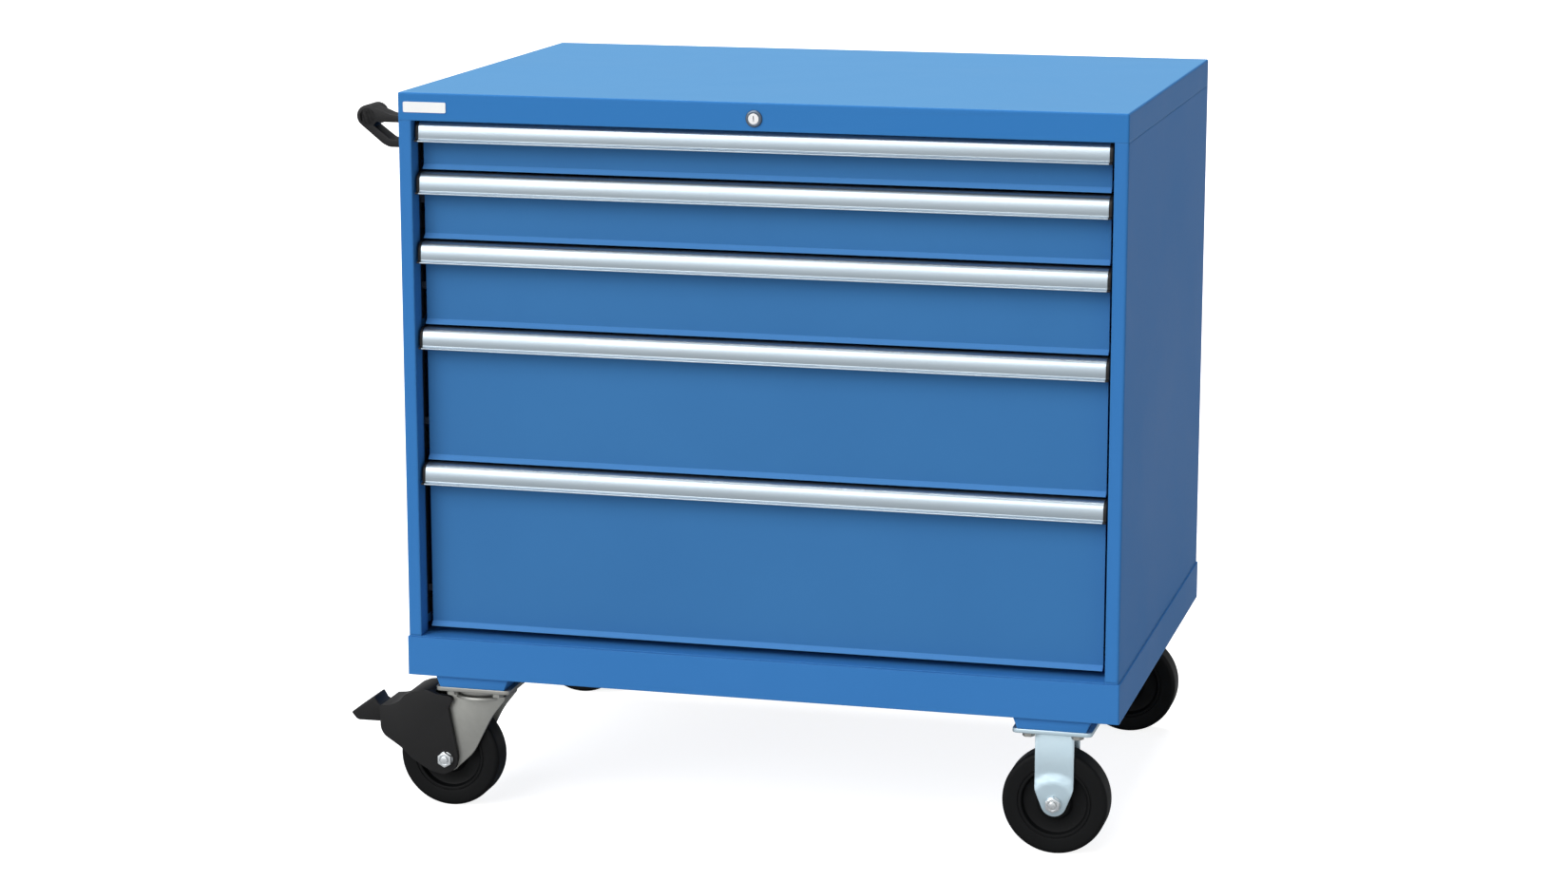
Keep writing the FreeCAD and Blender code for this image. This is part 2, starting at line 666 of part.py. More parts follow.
def cabinet_runners():
    """Ten C channels on brackets, two for each drawer, fixed to the side panels."""
    runners = []
    wall_x = half_width - size.housing_sheet
    thick = size.channel_sheet
    for index in range(len(pitches)):
        z = zone_bottom(index) + size.rail_rise
        low_z = z - channel_half - thick
        high_z = z + channel_half + thick
        for side in (LEFT, RIGHT):
            name = f"runner_{index + 1}_{int(side) + 1}"
            channel = c_channel(name + "_channel", side, cabinet_web_x, 1,
                                bar_outer_x + size.bar_clear, z, slide_front_y,
                                runner_length)
            rear_y = slide_front_y + runner_length - size.standoff_length
            brackets = []
            for end, y in (("front", slide_front_y + size.standoff_inset), ("rear", rear_y)):
                ends = sorted((runner_outer_x * side, wall_x * side),
                              key=lambda value: value.value)
                brackets.append(block(f"{name}_{end}_bracket", (ends[0], y, low_z),
                                      (ends[1], y + size.standoff_length, high_z)))
            runners.append(join(name, channel, *brackets))
    return finish(pair("cabinet_runners", *runners), "cabinet_runners")


def carriages(index):
    """The two middle members of a drawer's slides: a bar with four rollers each."""
    node = f"drawer_{index + 1}_carriages"
    z = zone_bottom(index) + size.rail_rise
    start, end = bar_front_end_y, bar_front_end_y + size.bar_length
    solids = []
    for side in (LEFT, RIGHT):
        ends = sorted((bar_inner_x * side, bar_outer_x * side), key=lambda value: value.value)
        solids.append(block(f"{node}_bar_{int(side) + 1}", (ends[0], start, z - size.bar_height / 2),
                            (ends[1], end, z + size.bar_height / 2)))
        inner = (bar_inner_x - size.roller_width if side == RIGHT else -bar_inner_x)
        outer = (bar_outer_x if side == RIGHT else -bar_outer_x - size.roller_width)
        places = [
            (inner, start + size.roller_inset),
            (inner, start + size.roller_inset + size.roller_mid),
            (outer, end - size.roller_inset),
            (outer, end - size.roller_inset - size.roller_mid),
        ]
        for number, (x, y) in enumerate(places, start=1):
            solids.append(rod(f"{node}_roller_{int(side) + 1}_{number}", "x",
                              size.roller_radius, (x, y, z), size.roller_width))
    return finish(pair(node, *solids), node)


def drawer_box(index):
    """A folded tray with a slide channel on each side and a lock catch on the left."""
    node = f"drawer_{index + 1}_box"
    low = zone_bottom(index) + size.box_rise
    high = zone_bottom(index) + pitches[index] - size.box_headroom
    wide, thick = box_half_width, size.box_sheet
    stock = block(node + "_stock", (-wide, front_back_y, low), (wide, box_rear_y, high))
    hollow = block(node + "_hollow", (-wide + thick, front_back_y + thick, low + thick),
                   (wide - thick, box_rear_y - thick, high + size.overrun))
    tray = cut(node + "_tray", stock, hollow)
    z = zone_bottom(index) + size.rail_rise
    channels = [c_channel(f"{node}_channel_{int(side) + 1}", side, drawer_web_x, -1,
                          bar_inner_x - size.bar_clear, z, slide_front_y,
                          box_rear_y - slide_front_y) for side in (LEFT, RIGHT)]
    catch_y = hook_y + size.catch_gap
    catch_z = zone_bottom(index) + size.catch_rise
    catch = block(node + "_catch", (-wide - size.catch_length, catch_y, catch_z),
                  (-wide, catch_y + size.hook_thick, catch_z + size.catch_height))
    return finish(join(node, tray, catch, *channels), node)


# The offset of a fold's inner corner from its outer one, where the sheet turns 45 degrees.
half_turn_share = 0.41421356237309503


def drawer_front(index):
    """A folded front: face, a bottom edge that flares forward, and flanges on the box."""
    node = f"drawer_{index + 1}_front"
    zone = zone_bottom(index)
    low = zone + size.front_gap
    high = zone + pitches[index] - size.handle_wall
    low_flange = zone + size.box_rise + size.front_lap
    high_flange = zone + pitches[index] - size.box_headroom - size.front_lap
    thick, flare = size.front_sheet, size.front_flare
    flange_y = front_back_y - thick
    corners = [
        (front_back_y, high), (face_y, high), (face_y, low + flare), (face_y - flare, low),
        (front_back_y, low), (front_back_y, low_flange), (flange_y, low_flange),
        (flange_y, low + thick), (face_y - flare + thick * (2 + half_turn_share), low + thick),
        (face_y + thick, low + flare - thick * half_turn_share), (face_y + thick, high - thick),
        (flange_y, high - thick), (flange_y, high_flange), (front_back_y, high_flange),
    ]
    wide = front_half_width
    return finish(prism(node, "YZ_Plane", corners, -wide, wide * 2), node)


def handle_levels(index):
    """Heights and depths that a handle and its end caps share."""
    top = zone_bottom(index) + pitches[index]
    low = top - size.handle_height
    lip_z = low + size.handle_bead_height
    crest_y = face_y - size.handle_reach
    skin_y = crest_y - size.handle_lean
    return top, low, lip_z, crest_y, skin_y


def drawer_handle(index):
    """A full-width aluminium hood, open below, hooked over the front's top edge."""
    node = f"drawer_{index + 1}_handle"
    top, low, lip_z, crest_y, skin_y = handle_levels(index)
    wall, bead = size.handle_wall, size.handle_bead
    back_low = top - size.handle_back_height
    corners = [
        (face_y + size.handle_hook, top), (crest_y, top), (skin_y, lip_z + bead),
        (skin_y - bead, lip_z), (skin_y - bead, low), (skin_y + wall, low),
        (skin_y + wall, lip_z + bead), (crest_y + wall, top - wall),
        (face_y - wall, top - wall), (face_y - wall, back_low), (face_y, back_low),
        (face_y, top - wall), (face_y + size.handle_hook, top - wall),
    ]
    half = handle_half_length
    body = prism(node, "YZ_Plane", corners, -half, half * 2)
    round_edges(body, size.handle_round, lambda edge: runs_along(edge, 0)
                and is_near(middle(edge).y, crest_y) and is_near(middle(edge).z, top))
    round_edges(body, size.handle_round - wall, lambda edge: runs_along(edge, 0)
                and is_near(middle(edge).y, crest_y + wall)
                and is_near(middle(edge).z, top - wall), "inner_round")
    return finish(body, node)


def end_caps(index):
    """Two plastic caps that close a handle's ends, each with a plug inside the hood."""
    node = f"drawer_{index + 1}_end_caps"
    top, low, lip_z, crest_y, skin_y = handle_levels(index)
    wall, bead = size.handle_wall, size.handle_bead
    clear = size.spigot_clear
    half, thick = handle_half_length, size.cap_thick
    outer = [(face_y, top), (crest_y, top), (skin_y, lip_z + bead),
             (skin_y - bead, lip_z), (skin_y - bead, low), (face_y, low)]
    mid_y = (face_y + crest_y) / 2
    plug_low = lip_z + bead
    plug = [(face_y - wall - clear, top - wall - clear), (mid_y, top - wall - clear),
            (mid_y, plug_low), (face_y - wall - clear, plug_low)]
    solids = []
    for side in (LEFT, RIGHT):
        word = "left" if side == LEFT else "right"
        start = half if side == RIGHT else -half - thick
        cap = prism(f"{node}_{word}", "YZ_Plane", outer, start, thick)
        round_edges(cap, size.handle_round, lambda edge: runs_along(edge, 0)
                    and is_near(middle(edge).y, crest_y) and is_near(middle(edge).z, top))
        plug_start = half - size.cap_spigot if side == RIGHT else -half
        spigot = prism(f"{node}_{word}_plug", "YZ_Plane", plug, plug_start, size.cap_spigot)
        solids.append(join(f"{node}_{word}_solid", cap, spigot))
    return finish(pair(node, *solids), node)


def lock():
    """The lock: a fixed barrel, a core that turns with its cam, a bar and a column."""
    face = -half_depth
    barrel = join("lock_barrel",
                  rod("lock_ring", "y", size.lock_ring_radius,
                      (ZERO, face - size.lock_ring_proud, lock_z), size.lock_ring_proud),
                  rod("lock_sleeve", "y", size.lock_barrel_radius,
                      (ZERO, face, lock_z), size.lock_barrel_length),
                  hexagon("lock_nut", "y", size.lock_nut_radius,
                          (ZERO, skirt_back_y, lock_z), size.lock_nut_thick))
    bore = rod("lock_bore", "y", size.plug_radius + size.plug_clear,
               (ZERO, face - size.lock_ring_proud - size.overrun, lock_z),
               size.lock_ring_proud + size.lock_barrel_length + size.overrun * 2)
    finish(cut("lock_body", barrel, bore), "lock_body")

    plug_front = face - size.lock_ring_proud - size.plug_proud
    core = rod("lock_core", "y", size.plug_radius, (ZERO, plug_front, lock_z),
               cam_front_y - plug_front)
    crank = block("lock_cam_arm",
                  (-crank_side - size.plug_radius / 2, cam_front_y, lock_z - size.plug_radius),
                  (size.plug_radius, cam_front_y + size.cam_thick,
                   lock_z + crank_side + size.plug_radius / 2))
    pin = rod("lock_cam_pin", "y", size.lock_pin_radius,
              (-crank_side, cam_front_y, lock_z + crank_side),
              size.cam_thick + size.lock_strip_gap + size.lock_strip)
    keyway = block("lock_keyway",
                   (-size.keyway_width / 2, plug_front - size.overrun,
                    lock_z - size.keyway_height / 2),
                   (size.keyway_width / 2, plug_front + size.keyway_depth,
                    lock_z + size.keyway_height / 2))
    finish(cut("lock_plug", join("lock_turning", core, crank, pin), keyway), "lock_plug")

    left_x = column_pin_x - size.lock_travel - slot_half - size.lock_slot_clear
    strip = block("lock_bar_strip", (left_x, bar_front_y, bar_low_z),
                  (size.lock_bar_tail, bar_front_y + size.lock_strip, bar_high_z))
    plate = block("lock_bar_plate", (left_x, bar_front_y, bar_low_z - size.lock_bar_end_drop),
                  (left_x + size.lock_bar_end_length, bar_front_y + size.lock_strip, bar_high_z))
    crank_slot = block("lock_bar_crank_slot",
                       (-crank_side - slot_half, bar_front_y - size.overrun,
                        lock_z + crank_side - slot_half),
                       (-crank_side + slot_half, bar_front_y + size.lock_strip + size.overrun,
                        lock_z + crank_radius + slot_half))
    slot_side = slot_half * swing_share / 2
    far_x = column_pin_x - size.lock_travel
    far_z = column_pin_z - size.lock_travel
    slant = [(far_x - slot_side, far_z + slot_side), (far_x + slot_side, far_z - slot_side),
             (column_pin_x + slot_side, column_pin_z - slot_side),
             (column_pin_x - slot_side, column_pin_z + slot_side)]
    slot = prism("lock_bar_slant", "XZ_Plane", slant,
                 -(bar_front_y + size.lock_strip + size.overrun),
                 size.lock_strip + size.overrun * 2)
    ends = [rod(f"lock_bar_slant_end_{number}", "y", slot_half,
                (x, bar_front_y - size.overrun, z), size.lock_strip + size.overrun * 2)
            for number, (x, z) in enumerate(((far_x, far_z), (column_pin_x, column_pin_z)))]
    finish(cut("lock_bar", join("lock_bar_blank", strip, plate), crank_slot, slot, *ends),
           "lock_bar")

    head_z = column_pin_z + size.lock_pin_radius + size.lock_slot_clear
    pole = block("lock_column_pole",
                 (column_x, column_plate_y, bay_z + size.housing_sheet + size.column_foot_gap),
                 (column_x + size.column_width, hook_y, head_z))
    head = block("lock_column_head",
                 (column_x, column_plate_y, rail_z + size.housing_sheet + size.lock_travel
                  - size.lock_strip),
                 (column_pin_x + size.lock_pin_radius + size.lock_strip,
                  column_plate_y + size.lock_strip, head_z))
    column_pin = rod("lock_column_pin", "y", size.lock_pin_radius,
                     (column_pin_x, bar_front_y, column_pin_z),
                     column_plate_y - bar_front_y + size.lock_strip)
    hooks = []
    for index in range(len(pitches)):
        z = zone_bottom(index) + size.catch_rise + size.catch_height + size.hook_clear
        hooks.append(block(f"lock_hook_{index + 1}",
                           (column_x + size.column_width,
                            hook_y - size.hook_inset - size.hook_thick, z),
                           (column_x + size.column_width + size.hook_length,
                            hook_y - size.hook_inset, z + size.hook_height)))
    finish(join("lock_column", pole, head, column_pin, *hooks), "lock_column")


def name_plate():
    """A bare plate at the left of the cover's front skirt."""
    left = -half_width + size.plate_label_inset
    high = top_z - size.plate_label_drop
    low = high - size.plate_label_height
    plate = prism("name_plate", "XZ_Plane",
                  rectangle((left, low), (left + size.plate_label_length, high)),
                  half_depth, size.plate_label_thick)
    round_edges(plate, size.plate_label_round, lambda edge: runs_along(edge, 1))
    return finish(plate, "name_plate")


# Where the arm and the strut meet the grip, as shares of its radius from its centre.
GRIP_SHARES = {"top": (0.60, 0.79), "side": (-0.62, -0.78),
               "upper": (0.86, -0.48), "lower": (0.52, -0.80)}


def push_handle(word, low_y):
    """A moulded push handle: a round grip that an arm and a strut hold off the cabinet."""
    grip_x = -half_width - size.push_reach
    grip_z = top_z - size.push_drop
    radius = size.push_grip_radius
    foot_x = -half_width - size.push_foot_thick
    arm_top = grip_z - size.push_arm_drop + size.push_arm_thick / 2
    arm_low = grip_z - size.push_arm_drop - size.push_arm_thick / 2
    strut_low = grip_z - size.push_strut_drop
    strut_top = strut_low + size.push_strut_thick
    spots = {name: (grip_x + radius * out, grip_z + radius * rise)
             for name, (out, rise) in GRIP_SHARES.items()}
    profile = [
        (-half_width, arm_top + size.push_foot_over), (foot_x, arm_top + size.push_foot_over),
        (foot_x, arm_top), (-half_width - size.push_arm_bend, arm_top), spots["top"],
        (grip_x, grip_z), spots["side"], (-half_width - size.push_knee, strut_low),
        (foot_x, strut_low), (foot_x, strut_low - size.push_foot_over),
        (-half_width, strut_low - size.push_foot_over),
    ]
    gap = [(foot_x, arm_low), spots["upper"], spots["lower"],
           (-half_width - size.push_inner_knee, strut_top), (foot_x, strut_top)]
    web_end = low_y + size.push_web_depth
    web = prism(f"push_{word}_web", "XZ_Plane", profile, -web_end, size.push_web_depth)
    hole = prism(f"push_{word}_gap", "XZ_Plane", gap, -(web_end + size.overrun),
                 size.push_web_depth + size.overrun * 2)
    holed = cut(f"push_{word}_webbed", web, hole)
    grip = rod(f"push_{word}_grip", "y", radius, (grip_x, low_y, grip_z),
               size.push_grip_length)
    return join(f"push_{word}_solid", holed, grip)


def push_handles():
    """Two alike push handles on the left side panel."""
    rear_y = half_depth - size.push_inset - size.push_grip_length
    finish(pair("push_handles", push_handle("front", -half_depth + size.push_inset),
                push_handle("rear", rear_y)), "push_handles")


def plate_stock(name, x, y):
    """A caster's top plate with its four bolt holes."""
    low_z = size.caster_height - size.caster_plate_thick
    half_x, half_y = size.caster_plate_length / 2, size.caster_plate_width / 2
    plate = prism(name + "_plate", "XY_Plane", rectangle((-half_x, -half_y), (half_x, half_y)),
                  ZERO, size.caster_plate_thick, (x, y, low_z))
    round_edges(plate, size.caster_plate_round, lambda edge: runs_along(edge, 2))
    holes = [rod(f"{name}_hole_{number}", "z", size.caster_bolt_radius + size.caster_bolt_clear,
                 (hole_x, hole_y, low_z - size.overrun),
                 size.caster_plate_thick + size.overrun * 2)
             for number, (hole_x, hole_y) in enumerate(bolt_places(x, y))]
    return cut(name + "_drilled_plate", plate, *holes)


leg_inner = size.wheel_hub_width / 2 + size.fork_gap
leg_outer = leg_inner + size.fork_sheet
plate_low_z = size.caster_height - size.caster_plate_thick


def leg_pair(name, corners, axle_x, y):
    """Both legs of a fork, each with a round end and a pressed boss at the axle."""
    solids = []
    for word, side in (("front", FRONT), ("rear", REAR)):
        start = y - leg_outer if side == FRONT else y + leg_inner
        leg = prism(f"{name}_{word}_leg", "XZ_Plane", corners,
                    -(start + size.fork_sheet), size.fork_sheet)
        end = rod(f"{name}_{word}_leg_end", "y", size.fork_end_radius,
                  (axle_x, start, axle_z), size.fork_sheet)
        boss_y = start - size.fork_boss_proud if side == FRONT else start
        boss = rod(f"{name}_{word}_leg_boss", "y", size.fork_boss_radius,
                   (axle_x, boss_y, axle_z), size.fork_sheet + size.fork_boss_proud)
        solids.extend((leg, end, boss))
    return solids


def axle_hole(name, x, y):
    """The cutter for the axle's holes in a fork or cover."""
    reach = leg_outer + size.fork_boss_proud + size.cheek_thick + size.overrun
    return rod(name, "y", size.axle_radius, (x, y - reach, axle_z), reach * 2)


def rigid_fork(word, end):
    """A rigid caster's fork: its plate with two straight legs welded under it."""
    node = f"rigid_fork_{word}"
    x, y = caster_x, caster_y * end
    half = size.fork_half_width
    knee = axle_z + size.fork_straight
    corners = [(x - half, plate_low_z), (x - half, knee), (x - size.fork_end_radius, axle_z),
               (x + size.fork_end_radius, axle_z), (x + half, knee), (x + half, plate_low_z)]
    legs = leg_pair(node, corners, x, y)
    crown = block(node + "_crown", (x - half, y - leg_inner, plate_low_z - size.fork_sheet),
                  (x + half, y + leg_inner, plate_low_z))
    welded = join(node + "_welded", plate_stock(node, x, y), crown, *legs)
    return finish(cut(node, welded, axle_hole(node + "_axle_hole", x, y)), node)


def axle_bolt(name, x, y, grip):
    """An axle bolt: head in front, shank through the wheel, nut behind."""
    head = size.axle_head_height
    return join(name,
                hexagon(name + "_head", "y", size.axle_head_radius,
                        (x, y - grip - head, axle_z), head),
                rod(name + "_shank", "y", size.axle_radius,
                    (x, y - grip - head, axle_z), (grip + head) * 2),
                hexagon(name + "_nut", "y", size.axle_head_radius, (x, y + grip, axle_z), head))


def wheel(node, x, y):
    """A moulded wheel: tread with rounded shoulders, rim, web and hub."""
    half = size.wheel_width / 2
    hub = size.wheel_hub_width / 2
    web = size.wheel_web_width / 2
    draft, radius, shoulder = size.wheel_draft, wheel_radius, size.wheel_shoulder
    bore = size.axle_radius + size.axle_clear
    near_side = [
        (bore, -hub), (size.wheel_hub_radius, -hub), (size.wheel_hub_radius + draft, -web),
        (size.wheel_rim_radius - draft, -web), (size.wheel_rim_radius, -half), (radius, -half),
    ]
    far_side = [(reach, -along) for reach, along in reversed(near_side)]
    body = turned(near_side + far_side, node, (x, y, axle_z))
    round_edges(body, shoulder, lambda edge: edge.Curve.TypeId == "Part::GeomCircle"
                and is_near(edge.Curve.Radius, radius))
    return finish(body, node)


def swivel_plate(word, end):
    """The fixed half of a swivel caster: plate, bearing ring and king pin."""
    node = f"swivel_plate_{word}"
    x, y = -caster_x, caster_y * end
    race_low = plate_low_z - size.race_height
    crown_low = race_low - size.race_gap - size.crown_thick
    pin_low = crown_low - size.race_gap - size.king_head_height
    return finish(join(node, plate_stock(node, x, y),
                       rod(node + "_race", "z", size.race_radius, (x, y, race_low),
                           size.race_height),
                       rod(node + "_king_pin", "z", size.king_radius, (x, y, pin_low),
                           race_low - pin_low),
                       rod(node + "_king_head", "z", size.king_head_radius, (x, y, pin_low),
                           size.king_head_height)), node)


crown_high_z = plate_low_z - size.race_height - size.race_gap
crown_low_z = crown_high_z - size.crown_thick

# Corners of a swivel fork's leg: x as shares of the trail from the swivel axis towards the
# wheel, z as shares of the height from the axle to the crown.
LEG_SHARES = [(0.92, 1.0), (-0.90, 1.0), (-0.88, 0.94), (-0.46, 0.68), (0.14, 0.10)]
# Where the leg's flank meets its round end, as a share of that end's radius.
flank_share = 0.7


def swivel_fork(word, end):
    """The turning fork of a swivel caster, which trails its wheel behind the king pin."""
    node = f"swivel_fork_{word}"
    x, y = -caster_x, caster_y * end
    axle_x = x - size.swivel_trail
    rise = crown_high_z - axle_z
    corners = [(x - size.swivel_trail * across, axle_z + rise * up)
               for across, up in LEG_SHARES]
    flank = size.fork_end_radius * flank_share
    corners.append((axle_x + flank, axle_z - flank))
    corners.append((axle_x - size.fork_end_radius, axle_z))
    legs = leg_pair(node, corners, axle_x, y)
    disc = rod(node + "_disc", "z", size.crown_radius, (x, y, crown_low_z), size.crown_thick)
    bridge = block(node + "_bridge",
                   (x - size.swivel_trail * LEG_SHARES[0][0], y - leg_inner, crown_low_z),
                   (x - size.swivel_trail * LEG_SHARES[1][0], y + leg_inner, crown_high_z))
    bore = rod(node + "_king_bore", "z", size.king_radius + size.king_clear,
               (x, y, crown_low_z - size.overrun), size.crown_thick + size.overrun * 2)
    pressed = join(node + "_pressed", disc, bridge, *legs)
    return finish(cut(node, pressed, bore, axle_hole(node + "_axle_hole", axle_x, y)), node)


# Corners of the brake cover's cheek: x as shares of the wheel's radius behind the axle,
# z as shares of the height from the axle to the plate.
CHEEK_SHARES = [(0.36, 0.955), (0.85, 0.86), (0.94, 0.77), (1.46, 0.69), (1.43, 0.29),
                (0.96, 0.10), (0.70, -0.03), (0.35, -0.18), (0.16, -0.21), (-0.09, -0.17),
                (-0.25, 0.01), (-0.04, 0.74), (-0.18, 0.85), (-0.12, 0.89), (0.17, 0.905)]
# Its bridge over the wheel follows the first four corners.
BRIDGE_CORNERS = 4


def brake_cover(word, end):
    """A moulded cover on the outside of a swivel fork, bridged over the wheel."""
    node = f"brake_cover_{word}"
    y = caster_y * end
    axle_x = swivel_axle_x
    rise = plate_low_z - axle_z
    spots = [(axle_x - wheel_radius * back, axle_z + rise * up)
             for back, up in CHEEK_SHARES]
    solids = []
    for side in (FRONT, REAR):
        start = y - leg_outer - size.cheek_thick if side == FRONT else y + leg_outer
        name = f"{node}_cheek_{int(side) + 1}"
        solids.append(prism(name, "XZ_Plane", spots, -(start + size.cheek_thick),
                            size.cheek_thick))
    ridge = spots[:BRIDGE_CORNERS]
    under = [(spot_x, spot_z - size.cover_wall) for spot_x, spot_z in reversed(ridge)]
    half = leg_outer + size.cheek_thick / 2
    solids.append(prism(node + "_bridge", "XZ_Plane", ridge + under, -(y + half), half * 2))
    clear = size.fork_boss_radius + size.spigot_clear
    reach = leg_outer + size.fork_boss_proud + size.spigot_clear
    boss_room = rod(node + "_boss_room", "y", clear, (axle_x, y - reach, axle_z), reach * 2)
    pivot = rod(node + "_pivot", "y", size.pedal_pivot_radius,
                (axle_x - pedal_pivot_reach, y - half, axle_z + pedal_pivot_rise),
                half * 2)
    shell = cut(node + "_shell", join(node + "_moulding", *solids), boss_room,
                axle_hole(node + "_axle_hole", axle_x, y))
    return finish(join(node, shell, pivot), node)


# Corners of the pedal: shares of the way from its pivot to its tip, and of that way upwards.
TREAD_SHARES = [(0.42, 0.18), (0.49, 0.30), (1.0, -0.06), (0.88, -0.22), (0.51, -0.17)]
HEEL_SHARES = [(-0.10, 0.12), (0.53, 0.12), (0.53, -0.15), (0.08, -0.17), (-0.07, -0.36),
               (-0.15, -0.20)]


def brake_pedal(word, end):
    """A rocking pedal: a broad tread outside the cover, and a heel that nears the tyre."""
    node = f"brake_pedal_{word}"
    y = caster_y * end
    pivot_x = swivel_axle_x - pedal_pivot_reach
    pivot_z = axle_z + pedal_pivot_rise
    reach = pivot_x - pedal_tip_x
    tread_spots = [(pivot_x - reach * back, pivot_z + reach * up) for back, up in TREAD_SHARES]
    heel_spots = [(pivot_x - reach * back, pivot_z + reach * up) for back, up in HEEL_SHARES]
    wide, slim = size.pedal_half_width, size.pedal_arm_half_width
    tread = prism(node + "_tread", "XZ_Plane", tread_spots, -(y + wide), wide * 2)
    heel = prism(node + "_heel", "XZ_Plane", heel_spots, -(y + slim), slim * 2)
    bore = rod(node + "_bore", "y", size.pedal_pivot_radius + size.pedal_pivot_clear,
               (pivot_x, y - slim - size.overrun, pivot_z), (slim + size.overrun) * 2)
    return finish(cut(node, join(node + "_solid", tread, heel), bore), node)


def caster_bolts():
    """Sixteen bolts that hold the caster plates to their channels."""
    bolts = []
    head = size.caster_head_height
    top = size.caster_height + size.plinth_sheet
    for side in (LEFT, RIGHT):
        for end in (FRONT, REAR):
            for number, (x, y) in enumerate(bolt_places(caster_x * side, caster_y * end)):
                name = f"caster_bolt_{int(side) + 1}_{int(end) + 1}_{number}"
                bolts.append(join(
                    name,
                    hexagon(name + "_head", "z", size.caster_head_radius,
                            (x, y, plate_low_z - head), head),
                    rod(name + "_shank", "z", size.caster_bolt_radius,
                        (x, y, plate_low_z - head), top + head - plate_low_z + head),
                    hexagon(name + "_nut", "z", size.caster_head_radius, (x, y, top), head)))
    return finish(pair("caster_bolts", *bolts), "caster_bolts")


def casters():
    """Two rigid casters on the right, two swivel casters with brakes on the left."""
    grip = leg_outer + size.fork_boss_proud
    axles = []
    for word, end in (("front", FRONT), ("rear", REAR)):
        y = caster_y * end
        rigid_fork(word, end)
        axles.append(axle_bolt(f"rigid_axle_{word}", caster_x, y, grip))
        wheel(f"rigid_wheel_{word}", caster_x, y)
        swivel_plate(word, end)
        swivel_fork(word, end)
        brake_cover(word, end)
        brake_pedal(word, end)
        wheel(f"swivel_wheel_{word}", swivel_axle_x, y)
        finish(axle_bolt(f"swivel_axle_{word}", swivel_axle_x, y,
                         leg_outer + size.cheek_thick), f"swivel_axle_{word}")
    finish(pair("rigid_axles", *axles), "rigid_axles")
    caster_bolts()


top_cover()
housing()
base_frame()
caster_channels()
cabinet_runners()
for index in range(len(pitches)):
    drawer_box(index)
    drawer_front(index)
    drawer_handle(index)
    end_caps(index)
    carriages(index)
lock()
name_plate()
push_handles()
casters()
doc.recompute()

# Nothing is written unless every object came out whole.
faults = [thing.Name for thing in doc.Objects
          if "Invalid" in thing.State or "Error" in thing.State]
for node, thing in finished.items():
    if thing.Shape.isNull() or not thing.Shape.isValid() or not thing.Shape.Solids:
        faults.append(node)
if faults:
    raise RuntimeError("these objects failed: " + ", ".join(faults))

os.makedirs("parts", exist_ok=True)
for node, thing in finished.items():
    thing.Shape.exportStep(f"parts/{node}.step")
print(len(finished), "nodes,", sum(len(thing.Shape.Solids) for thing in finished.values()),
      "solids")
print("cabinet's middle at x =", round(mid_x.value, 3))
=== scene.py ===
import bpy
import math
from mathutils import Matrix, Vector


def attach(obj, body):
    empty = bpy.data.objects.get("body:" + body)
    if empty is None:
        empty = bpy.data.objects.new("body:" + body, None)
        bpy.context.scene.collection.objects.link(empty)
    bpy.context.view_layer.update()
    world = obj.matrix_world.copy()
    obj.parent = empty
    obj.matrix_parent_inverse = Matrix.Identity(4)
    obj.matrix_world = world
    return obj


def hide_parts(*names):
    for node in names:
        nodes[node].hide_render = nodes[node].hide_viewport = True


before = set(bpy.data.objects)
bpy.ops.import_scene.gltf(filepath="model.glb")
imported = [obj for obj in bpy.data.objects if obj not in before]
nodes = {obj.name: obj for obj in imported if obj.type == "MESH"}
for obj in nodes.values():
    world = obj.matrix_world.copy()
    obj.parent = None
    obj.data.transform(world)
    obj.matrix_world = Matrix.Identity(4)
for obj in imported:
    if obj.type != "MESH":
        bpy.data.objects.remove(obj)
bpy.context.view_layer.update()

# %% [markdown]
# # A mobile drawer cabinet
# Five full-width drawers slide in a blue powder-coated steel housing, which rolls on
# two fixed and two braked swivel casters and is pushed by black handles at its left.
# The solids come from the CAD model. Here they get their finishes, and the parts that
# catch the eye, such as the casters and the drawer handles, are modelled more finely.

# %% [markdown]
# ## The camera
# A long lens stood a little right of the cabinet's middle and above its top, so that
# the top, the whole front and a narrow strip of the right side show.

# %% Camera
camera_data = bpy.data.cameras.new("camera")
camera_data.lens = 82.94
camera_data.sensor_width = 36
camera_data.clip_end = 200
camera = bpy.data.objects.new("camera", camera_data)
bpy.context.scene.collection.objects.link(camera)
camera.location = (1.3565, -5.1937, 1.6309)
camera.rotation_euler = (math.pi / 2 - 0.2065, 0, 0.2558)
bpy.context.scene.camera = camera
bpy.context.scene.view_settings.view_transform = "Standard"
print("camera: lens", camera_data.lens, "mm")

# %% [markdown]
# ## Building blocks for light and finishes
# The studio's light and each finish are small graphs of nodes. These helpers add a node
# and fill or link its inputs, so that each graph below reads like its recipe.

# %% Helpers for node graphs
def tone(red, green, blue):
    """A colour as a picture shows it, turned into the linear values that nodes use."""
    return tuple(((c / 255 + 0.055) / 1.055) ** 2.4 for c in (red, green, blue)) + (1,)


def plug(tree, made, **inputs):
    """Fill or link a node's inputs; _0 and _1 name inputs by their place."""
    for name, value in inputs.items():
        socket = made.inputs[int(name[1:]) if name[1:].isdigit() else name.replace("_", " ")]
        if isinstance(value, bpy.types.NodeSocket):
            tree.links.new(value, socket)
        else:
            socket.default_value = value
    return made


def add(tree, kind, settings=(), **inputs):
    """A new node with its settings and inputs."""
    made = tree.nodes.new(kind)
    for name, value in dict(settings).items():
        setattr(made, name, value)
    return plug(tree, made, **inputs)


